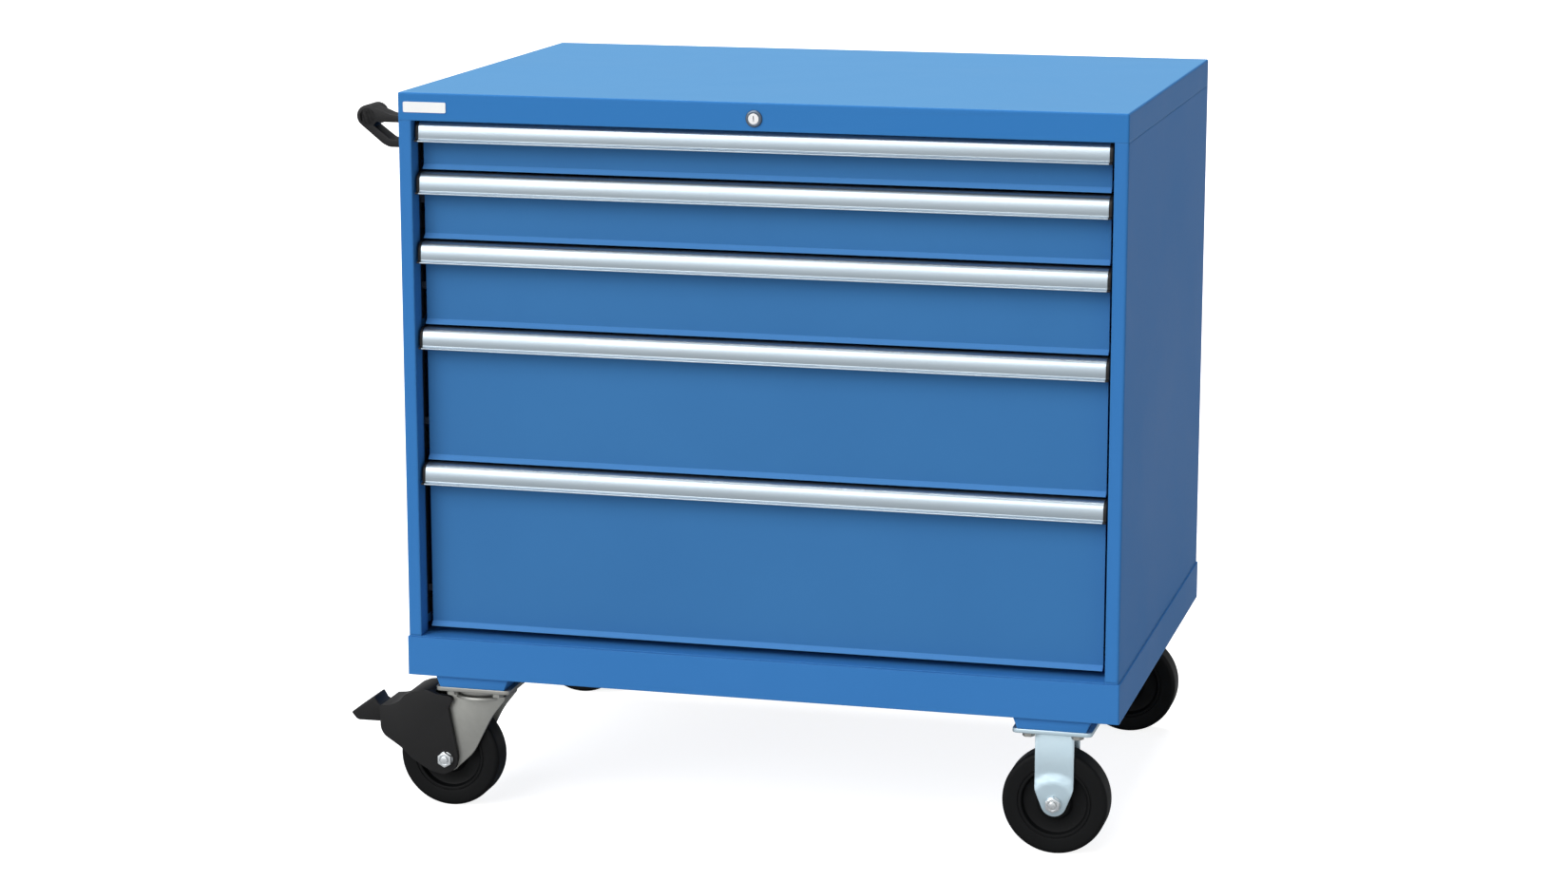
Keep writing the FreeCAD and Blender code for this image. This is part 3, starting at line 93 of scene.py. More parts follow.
def effect(name, numbers, results):
    """A shared node group with its number inputs and its results declared."""
    tree = bpy.data.node_groups.new(name, "ShaderNodeTree")
    for label, value in numbers.items():
        tree.interface.new_socket(label, in_out="INPUT",
                                  socket_type="NodeSocketFloat").default_value = value
    for label, kind in results.items():
        tree.interface.new_socket(label, in_out="OUTPUT", socket_type="NodeSocket" + kind)
    return tree, tree.nodes.new("NodeGroupInput"), tree.nodes.new("NodeGroupOutput")


def use(tree, group, **inputs):
    """A shared effect placed in a material."""
    return add(tree, "ShaderNodeGroup", {"node_tree": group}, **inputs)


print("helpers ready")

# %% [markdown]
# ## Light
# A studio that is light in front of the cabinet and dimmer behind it: one broad soft
# lamp at the front left, another overhead, and an even light from all round. The front
# gets its colour as painted, the top a little more, and the right side, which the lamps
# don't reach, about half. The camera and clear materials see a white backdrop.

# %% World and lamps
ambient_level = 0.30
world = bpy.data.worlds.new("studio")
bpy.context.scene.world = world
world.use_nodes = True
sky = world.node_tree
sky.nodes.clear()
rays = add(sky, "ShaderNodeLightPath")
way = add(sky, "ShaderNodeTexCoord")
parts = add(sky, "ShaderNodeSeparateXYZ", Vector=way.outputs["Generated"])
depth = add(sky, "ShaderNodeMapRange", Value=parts.outputs["Y"], From_Min=-0.5, From_Max=0.5,
            To_Min=1.14, To_Max=0.34)
level = add(sky, "ShaderNodeMath", {"operation": "MULTIPLY_ADD"},
            _0=rays.outputs["Is Glossy Ray"], _1=1 - ambient_level, _2=ambient_level)
dimmed = add(sky, "ShaderNodeMath", {"operation": "MULTIPLY"}, _0=level.outputs[0],
             _1=depth.outputs["Result"])
seen = add(sky, "ShaderNodeMath", {"operation": "MAXIMUM"}, _0=rays.outputs["Is Camera Ray"],
           _1=rays.outputs["Is Transmission Ray"])
strength = add(sky, "ShaderNodeMath", {"operation": "MAXIMUM"}, _0=seen.outputs[0],
               _1=dimmed.outputs[0])
backdrop = add(sky, "ShaderNodeBackground", Color=(1, 1, 1, 1), Strength=strength.outputs[0])
add(sky, "ShaderNodeOutputWorld", Surface=backdrop.outputs[0])


def lamp(name, strength, spread, towards):
    """A broad soft lamp, far away, that shines from one side."""
    data = bpy.data.lights.new(name, "SUN")
    data.energy = strength
    data.angle = math.radians(spread)
    made = bpy.data.objects.new(name, data)
    bpy.context.scene.collection.objects.link(made)
    made.rotation_euler = Vector(towards).to_track_quat("Z", "Y").to_euler()


lamp("front lamp", 2.05, 46, (-0.42, -0.76, 0.50))
lamp("overhead lamp", 2.75, 40, (-0.10, 0.16, 1.0))
print("lamps:", len(bpy.data.lights), "ambient", ambient_level)

# %% [markdown]
# ## Shared effects
# Real edges are never quite sharp: the bend of a sheet or the break of a moulding
# catches the light, and paint is thinner there. The first effect finds the edges and
# rounds them; the lighter colour laid along them is partly that wear and partly a
# painted highlight. The others are the fine skin of paint and moulded plastic, the
# faint clouds of handling on any large face, the lines that drawing leaves along a
# profile, and a mask for faces that lean back or lie flat, which get a lighter colour:
# a painted highlight where they turn up to the lamps.

# %% Effect: soft edges
edge_effect, ends, out = effect("soft edges", {"Radius": 0.001},
                                {"Mask": "Float", "Normal": "Vector"})
rounded = add(edge_effect, "ShaderNodeBevel", {"samples": 4}, Radius=ends.outputs["Radius"])
flat = add(edge_effect, "ShaderNodeNewGeometry")
likeness = add(edge_effect, "ShaderNodeVectorMath", {"operation": "DOT_PRODUCT"},
               _0=rounded.outputs[0], _1=flat.outputs["Normal"])
mask = add(edge_effect, "ShaderNodeMapRange", Value=likeness.outputs["Value"], From_Min=0.98,
           From_Max=0.75, To_Min=0, To_Max=1)
plug(edge_effect, out, Mask=mask.outputs["Result"], Normal=rounded.outputs[0])

# %% Effect: fine skin
skin_effect, ends, out = effect("fine skin", {"Scale": 900.0, "Softness": 0.5},
                                {"Height": "Float", "Speckle": "Float"})
where = add(skin_effect, "ShaderNodeTexCoord")
dimples = add(skin_effect, "ShaderNodeTexNoise", Vector=where.outputs["Object"],
              Scale=ends.outputs["Scale"], Detail=2.0, Roughness=ends.outputs["Softness"])
coarser = add(skin_effect, "ShaderNodeMath", {"operation": "MULTIPLY"},
              _0=ends.outputs["Scale"], _1=0.23)
waves = add(skin_effect, "ShaderNodeTexNoise", Vector=where.outputs["Object"],
            Scale=coarser.outputs[0], Detail=1.0)
both = add(skin_effect, "ShaderNodeMath", {"operation": "ADD"}, _0=dimples.outputs["Fac"],
           _1=waves.outputs["Fac"])
plug(skin_effect, out, Height=both.outputs[0], Speckle=dimples.outputs["Fac"])

# %% Effect: clouds of handling
cloud_effect, ends, out = effect("handling clouds", {"Scale": 3.0}, {"Cloud": "Float"})
where = add(cloud_effect, "ShaderNodeTexCoord")
cloud = add(cloud_effect, "ShaderNodeTexNoise", Vector=where.outputs["Object"],
            Scale=ends.outputs["Scale"], Detail=5.0, Roughness=0.6, Distortion=0.4)
spread = add(cloud_effect, "ShaderNodeMapRange", Value=cloud.outputs["Fac"], From_Min=0.35,
             From_Max=0.65)
plug(cloud_effect, out, Cloud=spread.outputs["Result"])

# %% Effect: drawn lines, which run along X
line_effect, ends, out = effect("drawn lines", {"Scale": 900.0},
                                {"Height": "Float", "Speckle": "Float"})
where = add(line_effect, "ShaderNodeTexCoord")
stretch = add(line_effect, "ShaderNodeCombineXYZ", X=6.0, Y=ends.outputs["Scale"],
              Z=ends.outputs["Scale"])
drawn = add(line_effect, "ShaderNodeVectorMath", {"operation": "MULTIPLY"},
            _0=where.outputs["Object"], _1=stretch.outputs[0])
line = add(line_effect, "ShaderNodeTexNoise", Vector=drawn.outputs[0], Scale=1.0,
           Detail=3.0, Roughness=0.6)
plug(line_effect, out, Height=line.outputs["Fac"], Speckle=line.outputs["Fac"])

# %% Effect: painted highlight on faces that lean back or lie flat
lean_highlight_effect, ends, out = effect("leaning faces", {"Steepest": 0.45, "Flattest": 0.90},
                                {"Mask": "Float"})
where = add(lean_highlight_effect, "ShaderNodeTexCoord")
rise = add(lean_highlight_effect, "ShaderNodeSeparateXYZ", Vector=where.outputs["Normal"])
above = add(lean_highlight_effect, "ShaderNodeMath", {"operation": "GREATER_THAN"}, _0=rise.outputs["Z"],
            _1=ends.outputs["Steepest"])
below = add(lean_highlight_effect, "ShaderNodeMath", {"operation": "LESS_THAN"}, _0=rise.outputs["Z"],
            _1=ends.outputs["Flattest"])
leans = add(lean_highlight_effect, "ShaderNodeMath", {"operation": "MULTIPLY"}, _0=above.outputs[0],
            _1=below.outputs[0])
plug(lean_highlight_effect, out, Mask=leans.outputs[0])
print("shared effects:", len(bpy.data.node_groups))


# %% [markdown]
# ## The finishes
# Each finish is one material: a colour that varies a little, a roughness that varies
# more, and a bump for the skin. The shader itself stays in the material.

# %% A finish with edges, skin and clouds
def finish(name, colour, edge_wear_and_highlight_colour, cloud_colour, rough, rough_spread, skin_scale,
           skin_depth, edge=0.001, cloud_scale=3.0, metal=0.0, grain=skin_effect,
           lean_highlight_colour=None, lean=(0.45, 0.90), **plain):
    """A material whose colour and roughness vary over the surface."""
    made = bpy.data.materials.new(name)
    made.use_nodes = True
    tree = made.node_tree
    tree.nodes.clear()
    edges = use(tree, edge_effect, Radius=edge)
    skin = use(tree, grain, Scale=skin_scale)
    clouds = use(tree, cloud_effect, Scale=cloud_scale)
    base = add(tree, "ShaderNodeMix", {"data_type": "RGBA"}, _0=clouds.outputs["Cloud"],
               _6=colour, _7=cloud_colour)
    # Faces that lean back or lie flat get a lighter colour: a painted highlight where they turn up
    # to the lamps.
    if lean_highlight_colour:
        leaning = use(tree, lean_highlight_effect, Steepest=lean[0], Flattest=lean[1])
        base = add(tree, "ShaderNodeMix", {"data_type": "RGBA"}, _0=leaning.outputs["Mask"],
                   _6=base.outputs[2], _7=lean_highlight_colour)
    # Along the edges the colour turns lighter: partly wear where the coat is thin, partly a painted
    # highlight.
    worn_and_highlit_edges = add(tree, "ShaderNodeMix", {"data_type": "RGBA"}, _0=edges.outputs["Mask"],
               _6=base.outputs[2], _7=edge_wear_and_highlight_colour)
    gloss = add(tree, "ShaderNodeMapRange", Value=clouds.outputs["Cloud"],
                To_Min=rough - rough_spread, To_Max=rough + rough_spread)
    speckled = add(tree, "ShaderNodeMath", {"operation": "MULTIPLY_ADD"},
                   _0=skin.outputs["Speckle"], _1=rough_spread, _2=gloss.outputs["Result"])
    bump = add(tree, "ShaderNodeBump", Strength=1.0, Distance=skin_depth,
               Height=skin.outputs["Height"], Normal=edges.outputs["Normal"])
    shader = add(tree, "ShaderNodeBsdfPrincipled", Base_Color=worn_and_highlit_edges.outputs[2],
                 Roughness=speckled.outputs[0], Normal=bump.outputs[0], Metallic=metal, **plain)
    add(tree, "ShaderNodeOutputMaterial", Surface=shader.outputs[0])
    return made


# In each finish the second colour is the lighter one along the edges: partly wear, partly a painted
# highlight.
powder_blue = finish("cabinet_powder_coat", tone(56, 119, 184), tone(70, 133, 196),
                     tone(58, 121, 186), 0.48, 0.03, 1400.0, 0.00002, 0.0022,
                     Specular_IOR_Level=0.06)
# The top's flat face gets a lighter blue: a painted highlight for the sheen a top seen almost
# edge-on shows.
top_blue = finish("top_powder_coat", tone(53, 119, 184), tone(68, 131, 194),
                  tone(55, 120, 184), 0.46, 0.03, 1400.0, 0.00002, 0.0022,
                  lean_highlight_colour=tone(88, 144, 192), lean=(0.90, 1.10), Specular_IOR_Level=0.04)
# The side panels get a wider edge band, so the stiles' inner returns show a lighter strip: a
# painted highlight.
side_blue = finish("side_powder_coat", tone(56, 119, 184), tone(62, 125, 190),
                   tone(58, 121, 186), 0.48, 0.03, 1400.0, 0.00002, 0.0050,
                   Specular_IOR_Level=0.04)
# The drawer fronts are a shade darker than the housing's blue: painted shade of their recess behind
# the stiles. The flared foot of each front, which leans up, gets a lighter blue: a painted
# highlight.
front_blue = finish("drawer_powder_coat", tone(57, 114, 170), tone(72, 132, 188),
                    tone(59, 117, 173), 0.48, 0.03, 1400.0, 0.00002, 0.0012,
                    lean_highlight_colour=tone(78, 138, 200), Specular_IOR_Level=0.08)
black_moulding = finish("grained_black_plastic", tone(17, 17, 18), tone(30, 30, 31),
                        tone(20, 20, 21), 0.45, 0.05, 2600.0, 0.00006, 0.001,
                        Specular_IOR_Level=0.25)
wheel_rubber = finish("hard_black_tyre", tone(9, 10, 11), tone(18, 19, 20),
                      tone(12, 13, 14), 0.52, 0.06, 1800.0, 0.00003, 0.001,
                      Specular_IOR_Level=0.12)
zinc_plate = finish("zinc_plated_steel", tone(188, 207, 216), tone(222, 230, 234),
                    tone(179, 199, 209), 0.42, 0.06, 700.0, 0.00002, 0.001, 14.0, 0.85)
zinc_warm = finish("zinc_plated_fork", tone(150, 150, 146), tone(190, 190, 186),
                   tone(142, 143, 139), 0.46, 0.06, 700.0, 0.00002, 0.001, 14.0, 0.85)
zinc_bright = finish("bright_zinc_bolts", tone(206, 210, 212), tone(228, 230, 231),
                     tone(196, 201, 204), 0.30, 0.05, 900.0, 0.00001, 0.0006, 30.0, 0.9)
# Slides, carriages and lock rods in a dark blue-grey: painted shade, so that they read as the
# shadowed gap beside the drawers.
gap_shade_steel = finish("steel_dark_as_gap_shade", tone(38, 50, 68), tone(58, 70, 86),
                        tone(34, 45, 62), 0.55, 0.05, 900.0, 0.00002, 0.0006, 20.0, 0.3)
bright_nickel = finish("nickel_plated_core", tone(232, 233, 234), tone(244, 244, 243),
                       tone(224, 225, 226), 0.32, 0.04, 1200.0, 0.000004, 0.0004, 40.0, 1.0)
grey_nickel = finish("dark_lock_ring", tone(92, 104, 118), tone(122, 134, 148),
                     tone(86, 98, 112), 0.34, 0.04, 1200.0, 0.000004, 0.0006, 40.0, 0.8)
plate_white = finish("white_plate_lacquer", tone(244, 244, 243), tone(250, 250, 250),
                     tone(238, 239, 240), 0.35, 0.03, 1200.0, 0.000006, 0.0006, 20.0)
anodised = finish("anodised_aluminium", tone(160, 171, 179), tone(182, 191, 198),
                  tone(154, 166, 175), 0.30, 0.03, 2200.0, 0.000004, 0.0006, 4.0, 0.92,
                  grain=line_effect)
print("finishes:", len(bpy.data.materials))

# %% [markdown]
# ## Which solid gets which finish
# The housing and the drawers are powder-coated, the casters and bolts zinc plated, the
# grips anodised, and the mouldings black. The slides, carriages and lock's rods are dark
# blue-grey, a painted shade for the gap beside the drawers. A solid that the table
# leaves out is zinc plated.

# %% Finishes on the solids
wears = {
    top_blue: ["top_cover"],
    powder_blue: ["back_panel", "floor_panel", "base_frame", "caster_channels"],
    side_blue: ["left_side_panel", "right_side_panel"],
    front_blue: [f"drawer_{n}_front" for n in range(1, 6)]
    + [f"drawer_{n}_box" for n in range(1, 6)],
    anodised: [f"drawer_{n}_handle" for n in range(1, 6)],
    black_moulding: [f"drawer_{n}_end_caps" for n in range(1, 6)]
    + ["push_handles"]
    + [f"{part}_{end}" for part in ("brake_cover", "brake_pedal")
       for end in ("front", "rear")],
    wheel_rubber: [f"{part}_wheel_{end}" for part in ("rigid", "swivel")
                   for end in ("front", "rear")],
    bright_nickel: ["lock_plug"],
    grey_nickel: ["lock_body"],
    gap_shade_steel: ["lock_bar", "lock_column", "cabinet_runners"]
    + [f"drawer_{n}_carriages" for n in range(1, 6)],
    plate_white: ["name_plate"],
    zinc_warm: ["caster_bolts"],
}
for name, solid in nodes.items():
    chosen = next((m for m, names in wears.items() if name in names), zinc_plate)
    for place in solid.material_slots:
        place.material = chosen
print("finished solids:", len(nodes))

# %% [markdown]
# ## Working by hand, in code
# Each new piece starts from a primitive at its place and is worked in edit mode: an
# outline drawn point by point, faces pulled out, corners rounded, a profile spun about
# its axle. Faces and edges are picked by where they are, because in code there is no
# mouse to click with.

# %% Helpers for modelling
def only(piece):
    """Select one object alone."""
    bpy.ops.object.select_all(action="DESELECT")
    piece.select_set(True)
    bpy.context.view_layer.objects.active = piece


def settle(piece, name):
    """Name a fresh piece and put its place into its mesh."""
    piece.name = piece.data.name = name
    bpy.ops.object.transform_apply(location=True, rotation=True, scale=True)
    return piece


def draw(name, corners, fill=True):
    """An outline drawn corner by corner from one point, filled unless told otherwise."""
    bpy.ops.object.select_all(action="DESELECT")
    bpy.ops.mesh.primitive_plane_add(size=0.001, location=corners[0])
    piece = settle(bpy.context.object, name)
    bpy.ops.object.mode_set(mode="EDIT")
    bpy.ops.mesh.select_mode(type="VERT")
    bpy.ops.mesh.select_all(action="SELECT")
    bpy.ops.mesh.merge(type="CENTER")
    for here, there in zip(corners, corners[1:]):
        step = [b - a for a, b in zip(here, there)]
        bpy.ops.mesh.extrude_vertices_move(TRANSFORM_OT_translate={"value": step})
    bpy.ops.mesh.select_all(action="SELECT")
    bpy.ops.mesh.edge_face_add()
    if not fill:
        bpy.ops.mesh.delete(type="ONLY_FACE")
        bpy.ops.mesh.select_all(action="SELECT")
    return piece


def pick(piece, kind, wanted):
    """In edit mode, select what wanted(place, normal) accepts; an edge's normal is its run."""
    bpy.ops.mesh.select_mode(type=kind)
    bpy.ops.mesh.select_all(action="DESELECT")
    bpy.ops.object.mode_set(mode="OBJECT")
    mesh = piece.data
    if kind == "VERT":
        rows = [(v, v.co, v.normal) for v in mesh.vertices]
    elif kind == "EDGE":
        ends = [(e, *(mesh.vertices[i].co for i in e.vertices)) for e in mesh.edges]
        rows = [(e, (a + b) / 2, (b - a).normalized()) for e, a, b in ends]
    else:
        rows = [(f, f.center, f.normal) for f in mesh.polygons]
    chosen = [item for item, place, normal in rows if wanted(place, normal)]
    for item in chosen:
        item.select = True
    bpy.ops.object.mode_set(mode="EDIT")
    return len(chosen)


def pull(x=0.0, y=0.0, z=0.0):
    """Extrude what is selected."""
    bpy.ops.mesh.extrude_region_move(TRANSFORM_OT_translate={"value": (x, y, z)})


def shift(x=0.0, y=0.0, z=0.0):
    """Move what is selected."""
    bpy.ops.transform.translate(value=(x, y, z))


def round_off(piece, radius, spots, steps=6):
    """Round those corners of a flat outline that lie at the given spots."""
    count = pick(piece, "VERT", lambda place, normal: any(
        (place - Vector(spot)).length < 0.00005 for spot in spots))
    bpy.ops.mesh.bevel(offset=radius, offset_type="OFFSET", segments=steps, affect="VERTICES")
    bpy.ops.mesh.select_all(action="SELECT")
    return count


def face_out():
    """Make every face of the piece in edit mode point outwards."""
    bpy.ops.mesh.select_all(action="SELECT")
    bpy.ops.mesh.remove_doubles(threshold=0.000005)
    bpy.ops.mesh.normals_make_consistent(inside=False)
    bpy.ops.object.mode_set(mode="OBJECT")


def soften(piece, width, steps=3, angle=30.0):
    """Break the piece's sharp edges with a bevel."""
    only(piece)
    edges = piece.modifiers.new("broken edges", "BEVEL")
    edges.width = width
    edges.segments = steps
    edges.limit_method = "ANGLE"
    edges.angle_limit = math.radians(angle)
    bpy.ops.object.modifier_apply(modifier=edges.name)
    return piece


def carve(piece, cutter):
    """Cut one piece away from another, and throw the cutter away."""
    only(piece)
    knife = piece.modifiers.new("cut", "BOOLEAN")
    knife.object = cutter
    knife.solver = "FAST"
    bpy.ops.object.modifier_apply(modifier=knife.name)
    bpy.data.objects.remove(cutter)
    return piece


def weld(name, *parts):
    """Join finished parts into one piece."""
    only(parts[0])
    for part in parts[1:]:
        part.select_set(True)
    if len(parts) > 1:
        bpy.ops.object.join()
    parts[0].name = parts[0].data.name = name
    return parts[0]


def copy_of(piece, name, x=0.0, y=0.0, z=0.0):
    """A copy with its own mesh, moved to its own place."""
    only(piece)
    bpy.ops.object.duplicate(linked=False)
    made = bpy.context.object
    bpy.ops.transform.translate(value=(x, y, z))
    return settle(made, name)


def fit(piece, body, material, slot, *stands_for, smooth=35.0):
    """Finish a piece: smooth its shading, give it its material, and hang it on its body."""
    only(piece)
    bpy.ops.object.shade_smooth_by_angle(angle=math.radians(smooth))
    piece.data.materials.clear()
    piece.data.materials.append(material)
    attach(piece, body)
    if stands_for:
        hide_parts(*stands_for)
    return piece


def disc(name, centre, axis, radius, length, corners=48):
    """A round bar about an axis, left in object mode."""
    turn = {"x": (0, math.pi / 2, 0), "y": (math.pi / 2, 0, 0), "z": (0, 0, 0)}[axis]
    bpy.ops.object.select_all(action="DESELECT")
    bpy.ops.mesh.primitive_cylinder_add(vertices=corners, radius=radius, depth=length,
                                        location=centre, rotation=turn)
    return settle(bpy.context.object, name)


print("modelling helpers ready")

# %% [markdown]
# ## Drawer grips
# The real grip is an extruded aluminium hood the full width of the drawer: it hooks
# over the front's top edge, bends forward and down in one long curve, and ends in a
# small lip that fingers pull. It is drawn as a profile and pulled out along the
# drawer, which is how the extrusion press makes it. A plastic cap closes each end.

# %% The profile of a grip
middle_x = 0.05325
face_y = -0.345
grip_half, cap_thick = 0.4975, 0.0048
grip_tops = [1.023, 0.948, 0.848, 0.723, 0.523]


def arc(centre, radius, start, stop, step):
    """Points on an arc that faces the front, from one lean of its surface to another."""
    y, z = centre
    return [(y - radius * math.cos(math.radians(lean)), z + radius * math.sin(math.radians(lean)))
            for lean in range(start, stop + (1 if step > 0 else -1), step)]


crown_centre, crown_radius = (-0.0085, -0.0125), 0.0125
skin_centre, skin_radius = (0.03796, -0.02237), 0.060


def grip_profile(top, x, hollow=True):
    """The grip's outline in a plane across the drawer, from the hook round to the lip."""
    outside = arc(crown_centre, crown_radius, 90, 12, -6)
    outside += arc(skin_centre, skin_radius, 9, -3, -3)
    outside += [(-0.0225, -0.0263), (-0.0246, -0.0269), (-0.0270, -0.0275), (-0.0279, -0.0283),
                (-0.0280, -0.0293), (-0.0273, -0.0300)]
    if not hollow:
        return [(x, face_y + y, top + z) for y, z in
                [(-0.0002, 0.0)] + outside + [(-0.0002, -0.0300)]]
    inside = [(-0.0225, -0.0300), (-0.0206, -0.0292), (-0.0200, -0.0270)]
    inside += arc(skin_centre, skin_radius - 0.002, 0, 12, 4)
    inside += arc(crown_centre, crown_radius - 0.002, 18, 90, 12)
    back = [(-0.0020, -0.0020), (-0.0020, -0.0240), (-0.0001, -0.0240), (-0.0001, -0.0020),
            (0.0100, -0.0020)]
    return [(x, face_y + y, top + z) for y, z in
            [(0.0100, -0.0004)] + outside + inside + back]


# %% Grips and their end caps
for number, top in enumerate(grip_tops, 1):
    grip = draw(f"grip_{number}", grip_profile(top, middle_x - grip_half))
    pull(x=2 * grip_half)
    face_out()
    fit(grip, f"drawer_{number}", anodised, "handle_aluminium", f"drawer_{number}_handle")
    caps = []
    for side, start in (("left", -grip_half - cap_thick), ("right", grip_half)):
        cap = draw(f"cap_{side}_{number}", grip_profile(top, middle_x + start, False))
        pull(x=cap_thick)
        face_out()
        caps.append(soften(cap, 0.0006, 2))
    fit(weld(f"grip_caps_{number}", *caps), f"drawer_{number}", black_moulding,
        "black_plastic", f"drawer_{number}_end_caps")
print("grips:", len(grip_tops), "faces each:", len(grip.data.polygons))

# %% [markdown]
# ## Wheels
# Each wheel is one moulding of hard black plastic with a tyre round it. A half
# section through it is drawn and spun about the axle, as it would be turned on a
# lathe: hub, thin web, rim, a narrow groove where the tyre starts, and soft shoulders.

# %% A wheel, then its three copies
axle_z = 0.0762
fixed_x, swivel_x, wheel_x = 0.48375, -0.37725, -0.42525
caster_y = {"front": -0.319, "rear": 0.319}
caster_span = caster_y["rear"] - caster_y["front"]
half_section = [
    (6.05, 23.5), (20.5, 23.5), (22.6, 22.9), (23.6, 21.4), (25.2, 15.5), (27.0, 13.6),
    (30.0, 13.0), (43.5, 13.0), (45.6, 13.8), (46.8, 16.0), (48.0, 20.4), (49.0, 21.3),
    (51.6, 21.4), (52.0, 20.3), (53.2, 20.3), (53.8, 21.6), (56.0, 22.0), (68.5, 21.8),
]
shoulder = [(70.2 + 6 * math.sin(math.radians(a)), 15.8 + 6 * math.cos(math.radians(a)))
            for a in range(0, 91, 15)]
half_section += shoulder + [(76.2, 8.0)]
section = [(r, -y) for r, y in half_section] + [(r, y) for r, y in reversed(half_section)]
corners = [(wheel_x + r / 1000, caster_y["front"] + y / 1000, axle_z) for r, y in section]
wheel = draw("wheel_swivel_front", corners, fill=False)
bpy.ops.mesh.spin(steps=96, angle=math.tau, axis=(0, 1, 0),
                  center=(wheel_x, caster_y["front"], axle_z))
face_out()
wheels = {"swivel_wheel_front": wheel,
          "swivel_wheel_rear": copy_of(wheel, "wheel_swivel_rear", y=caster_span),
          "rigid_wheel_front": copy_of(wheel, "wheel_fixed_front", x=fixed_x - wheel_x),
          "rigid_wheel_rear": copy_of(wheel, "wheel_fixed_rear", x=fixed_x - wheel_x,
                                      y=caster_span)}
for node, piece in wheels.items():
    fit(piece, node, wheel_rubber, "wheel_black", node, smooth=28)
print("wheel faces:", len(wheel.data.polygons))

# %% [markdown]
# ## Axle bolts
# A bolt runs through each wheel. What shows is its end: a washer, a hexagon nut with a
# countersunk mouth, and the end of the bolt, which stands just out of it.

# %% A bolt with washer and nut
washer_thick, nut_high, bolt_stand, mouth_deep = 0.0014, 0.0064, 0.0012, 0.0016


def axle_bolt(name, x, y, reach):
    """A through bolt whose washers sit at plus and minus reach from the wheel's middle."""
    nut_start = reach + washer_thick
    nut_end = nut_start + nut_high
    shank = disc(name + "_shank", (x, y, axle_z), "y", 0.0056, 2 * (nut_end + bolt_stand), 32)
    parts = [soften(shank, 0.0008, 2)]
    for side in (-1, 1):
        washer = disc(name + "_washer", (x, y + side * (reach + washer_thick / 2), axle_z),
                      "y", 0.0110, washer_thick, 40)
        nut = disc(name + "_nut", (x, y + side * (nut_start + nut_high / 2), axle_z), "y",
                   0.0116, nut_high, 6)
        mouth = disc(name + "_mouth", (x, y + side * nut_end, axle_z), "y", 0.0074,
                     2 * mouth_deep, 40)
        parts += [soften(washer, 0.0004, 2), carve(soften(nut, 0.0006, 2), mouth)]
    return weld(name, *parts)


fixed_bolts = []
for end, y in caster_y.items():
    fixed_bolts.append(axle_bolt("fixed_axle_" + end, fixed_x, y, 0.0290))
fit(weld("fixed_axles", *fixed_bolts), "cabinet", zinc_bright, "zinc_steel", "rigid_axles")
for end, y in caster_y.items():
    fit(axle_bolt("swivel_axle_bolt_" + end, wheel_x, y, 0.0375), "swivel_fork_" + end,
        zinc_bright, "zinc_steel", "swivel_axle_" + end)
print("axle bolts: 4")

# %% [markdown]
# ## Fixed forks
# A caster's top plate has a sheet steel leg on each side of the wheel. The leg is
# pressed outwards round the axle, to clear the hub, and tapers to a round end. Its
# outline is drawn flat and pulled to the sheet's thickness, then cut into small squares,
# so that those beyond a ring round the axle can be moved inwards, a little more with
# each wider ring, to make the domed step that the press leaves.

# %% Top plate of a caster
plate_top, plate_low = 0.1905, 0.18415
plate_half_x, plate_half_y = 0.05715, 0.051


def top_plate(name, x, y):
    """The plate that is bolted to the channel, its corners rounded."""
    spots = [(x + a * plate_half_x, y + b * plate_half_y, plate_low) for a, b in
             ((-1, -1), (1, -1), (1, 1), (-1, 1))]
    plate = draw(name, spots)
    round_off(plate, 0.008, spots)
    pull(z=plate_top - plate_low)
    face_out()
    return soften(plate, 0.0009, 3)


# %% A fixed fork, then its copy
leg_half, leg_end, leg_gap, leg_sheet = 0.028, 0.0185, 0.0249, 0.0036
taper_z = axle_z + 0.0200


def fixed_leg(name, y, outward):
    """One leg: outward is -1 for the front one, 1 for the rear one."""
    x = fixed_x
    turn = [math.radians(a) for a in range(-24, -157, -12)]
    spots = [(x - leg_half, plate_low), (x - leg_half, taper_z)]
    spots += [(x - leg_end * math.cos(a), axle_z + leg_end * math.sin(a)) for a in turn]
    spots += [(x + leg_half, taper_z), (x + leg_half, plate_low)]
    inner = y + outward * leg_gap
    leg = draw(name, [(px, inner, pz) for px, pz in spots])
    round_off(leg, 0.006, [(x - leg_half, inner, taper_z), (x + leg_half, inner, taper_z)])
    pull(y=outward * leg_sheet)
    face_out()
    bpy.ops.object.mode_set(mode="EDIT")
    for across in range(-24, 25, 4):
        bpy.ops.mesh.select_all(action="SELECT")
        bpy.ops.mesh.bisect(plane_co=(x + across / 1000, 0, 0), plane_no=(1, 0, 0))
    for up in range(14, 56, 3):
        bpy.ops.mesh.select_all(action="SELECT")
        bpy.ops.mesh.bisect(plane_co=(0, 0, axle_z + up / 1000), plane_no=(0, 0, 1))
    for ring in range(32, 45, 2):
        pick(leg, "VERT", lambda place, normal: place.z > axle_z and
             (place.x - x) ** 2 + (place.z - axle_z) ** 2 > (ring / 1000) ** 2)
        shift(y=-outward * 0.00040)
    bpy.ops.object.mode_set(mode="OBJECT")
    return soften(leg, 0.0008, 2, 40)


